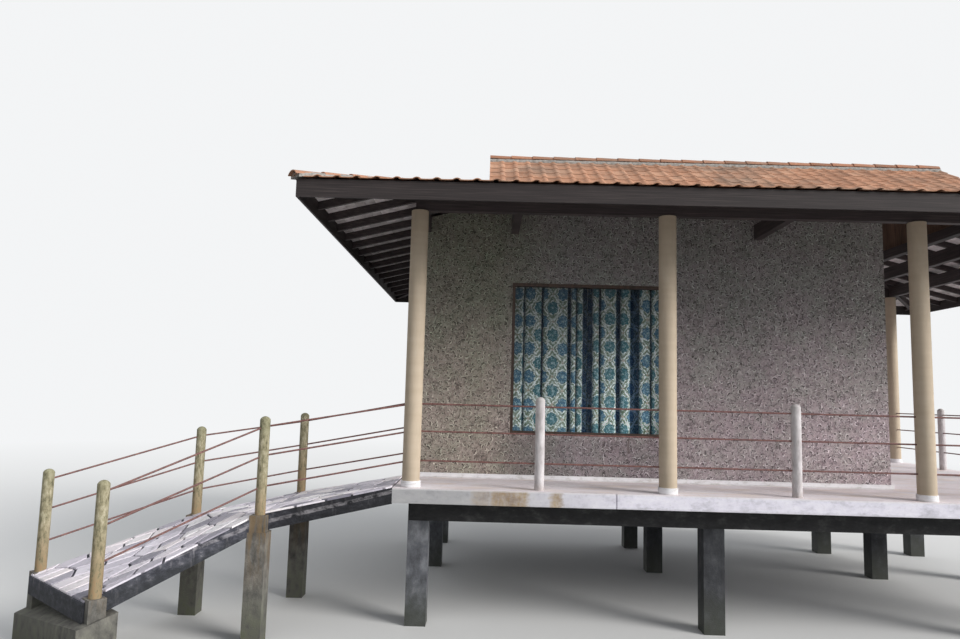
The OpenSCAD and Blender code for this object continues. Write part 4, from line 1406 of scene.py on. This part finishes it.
# Light
BACKDROP = (0.90, 0.91, 0.92)
SKY = (0.93, 0.96, 1.0)
SKY_LEFT = 0.26
SKY_RIGHT = 1.00
SUN_POWER = 3.0
SUN_SPREAD = math.radians(28)
SUN_COLOUR = (1.0, 0.98, 0.955)
SUN_WAY = Vector((-0.85, 0.48, -0.42))
FLOOR_HALF = 120.0
FLOOR_FADE = (9.0, 34.0)


def make_camera():
    flat = Vector((math.sin(CAMERA_YAW), math.cos(CAMERA_YAW), 0))
    level = Vector((flat.y, -flat.x, 0))
    ahead = flat * math.cos(CAMERA_PITCH) + UP * math.sin(CAMERA_PITCH)
    over = level.cross(ahead)
    right = level * math.cos(CAMERA_ROLL) + over * math.sin(CAMERA_ROLL)
    up = over * math.cos(CAMERA_ROLL) - level * math.sin(CAMERA_ROLL)
    place = MID + CAMERA_PLACE
    data = bpy.data.cameras.new("camera")
    data.sensor_width = 36
    data.lens = CAMERA_LENS
    data.clip_end = 300
    camera = bpy.data.objects.new("camera", data)
    camera.matrix_world = Matrix(((right.x, up.x, -ahead.x, place.x),
                                  (right.y, up.y, -ahead.y, place.y),
                                  (right.z, up.z, -ahead.z, place.z), (0, 0, 0, 1)))
    bpy.context.scene.collection.objects.link(camera)
    bpy.context.scene.camera = camera


def seen(tree):
    """1 for rays that the camera, a mirror or glass sees, 0 for those that light things."""
    rays = [put(tree, "LightPath", name) for name in
            ("Is Camera Ray", "Is Glossy Ray", "Is Transmission Ray")]
    both = put(tree, "Math", 0, {0: rays[0], 1: rays[1]}, operation="MAXIMUM")
    return put(tree, "Math", 0, {0: both, 1: rays[2]}, operation="MAXIMUM")


def make_floor():
    """A pale floor that fades into the backdrop and throws little light back up."""
    look = Look("studio_floor", rough=1.0, gloss=0.0)
    mesh = bpy.data.meshes.new("studio_floor")
    corners = [(x * FLOOR_HALF, y * FLOOR_HALF, 0) for x, y in ((-1, -1), (1, -1), (1, 1), (-1, 1))]
    mesh.from_pydata(corners, [], [(0, 1, 2, 3)])
    mesh.materials.append(look.mat)
    floor = bpy.data.objects.new("studio_floor", mesh)
    bpy.context.scene.collection.objects.link(floor)
    look.set("Base Color", look.mix(seen(look.tree), (0.30, 0.30, 0.29), (0.78, 0.78, 0.77)))
    away = look.vector("LENGTH", look.where, out=1)
    glow = look.put("Emission", 0, {"Color": BACKDROP})
    share = look.times(look.span(away, *FLOOR_FADE), seen(look.tree))
    body = look.put("MixShader", 0, {0: share, 1: look.shader.outputs[0], 2: glow})
    feed(look.tree, look.nodes["Material Output"].inputs["Surface"], body)


def make_world():
    """Sky light that grows from left to right, behind a plain backdrop."""
    world = bpy.data.worlds.new("studio")
    bpy.context.scene.world = world
    world.use_nodes = True
    tree = world.node_tree
    side = put(tree, "SeparateXYZ", 0, {0: put(tree, "TexCoord", "Generated")})
    power = put(tree, "MapRange", 0, {"Value": side, "From Min": -1.0, "From Max": 1.0,
                                      "To Min": SKY_LEFT, "To Max": SKY_RIGHT})
    light = put(tree, "Background", 0, {"Color": SKY, "Strength": power})
    view = put(tree, "Background", 0, {"Color": BACKDROP, "Strength": 1.0})
    both = put(tree, "MixShader", 0, {0: seen(tree), 1: light, 2: view})
    feed(tree, tree.nodes["World Output"].inputs["Surface"], both)


def make_sun():
    data = bpy.data.lights.new("sun", "SUN")
    data.energy = SUN_POWER
    data.angle = SUN_SPREAD
    data.color = SUN_COLOUR
    sun = bpy.data.objects.new("sun", data)
    sun.rotation_euler = SUN_WAY.to_track_quat("-Z", "Y").to_euler()
    bpy.context.scene.collection.objects.link(sun)


def main():
    make_camera()
    dress_concrete()
    dress_room_and_rails()
    dress_timber()
    make_tiles(look_tile("roof_clay", ROOF_CLAY))
    make_caps(look_tile("cap_clay", CAP_CLAY), look_mortar())
    make_boards(look_boards("ceiling_boards", *CEILING, 0.10))
    make_gable_boards(look_boards("gable_boards", *GABLE, (0.012, 0.012, 0.35)))
    make_paving(look_stone())
    make_curtains(look_curtain())
    make_floor()
    make_world()
    make_sun()
    bpy.context.scene.view_settings.view_transform = "Standard"


main()
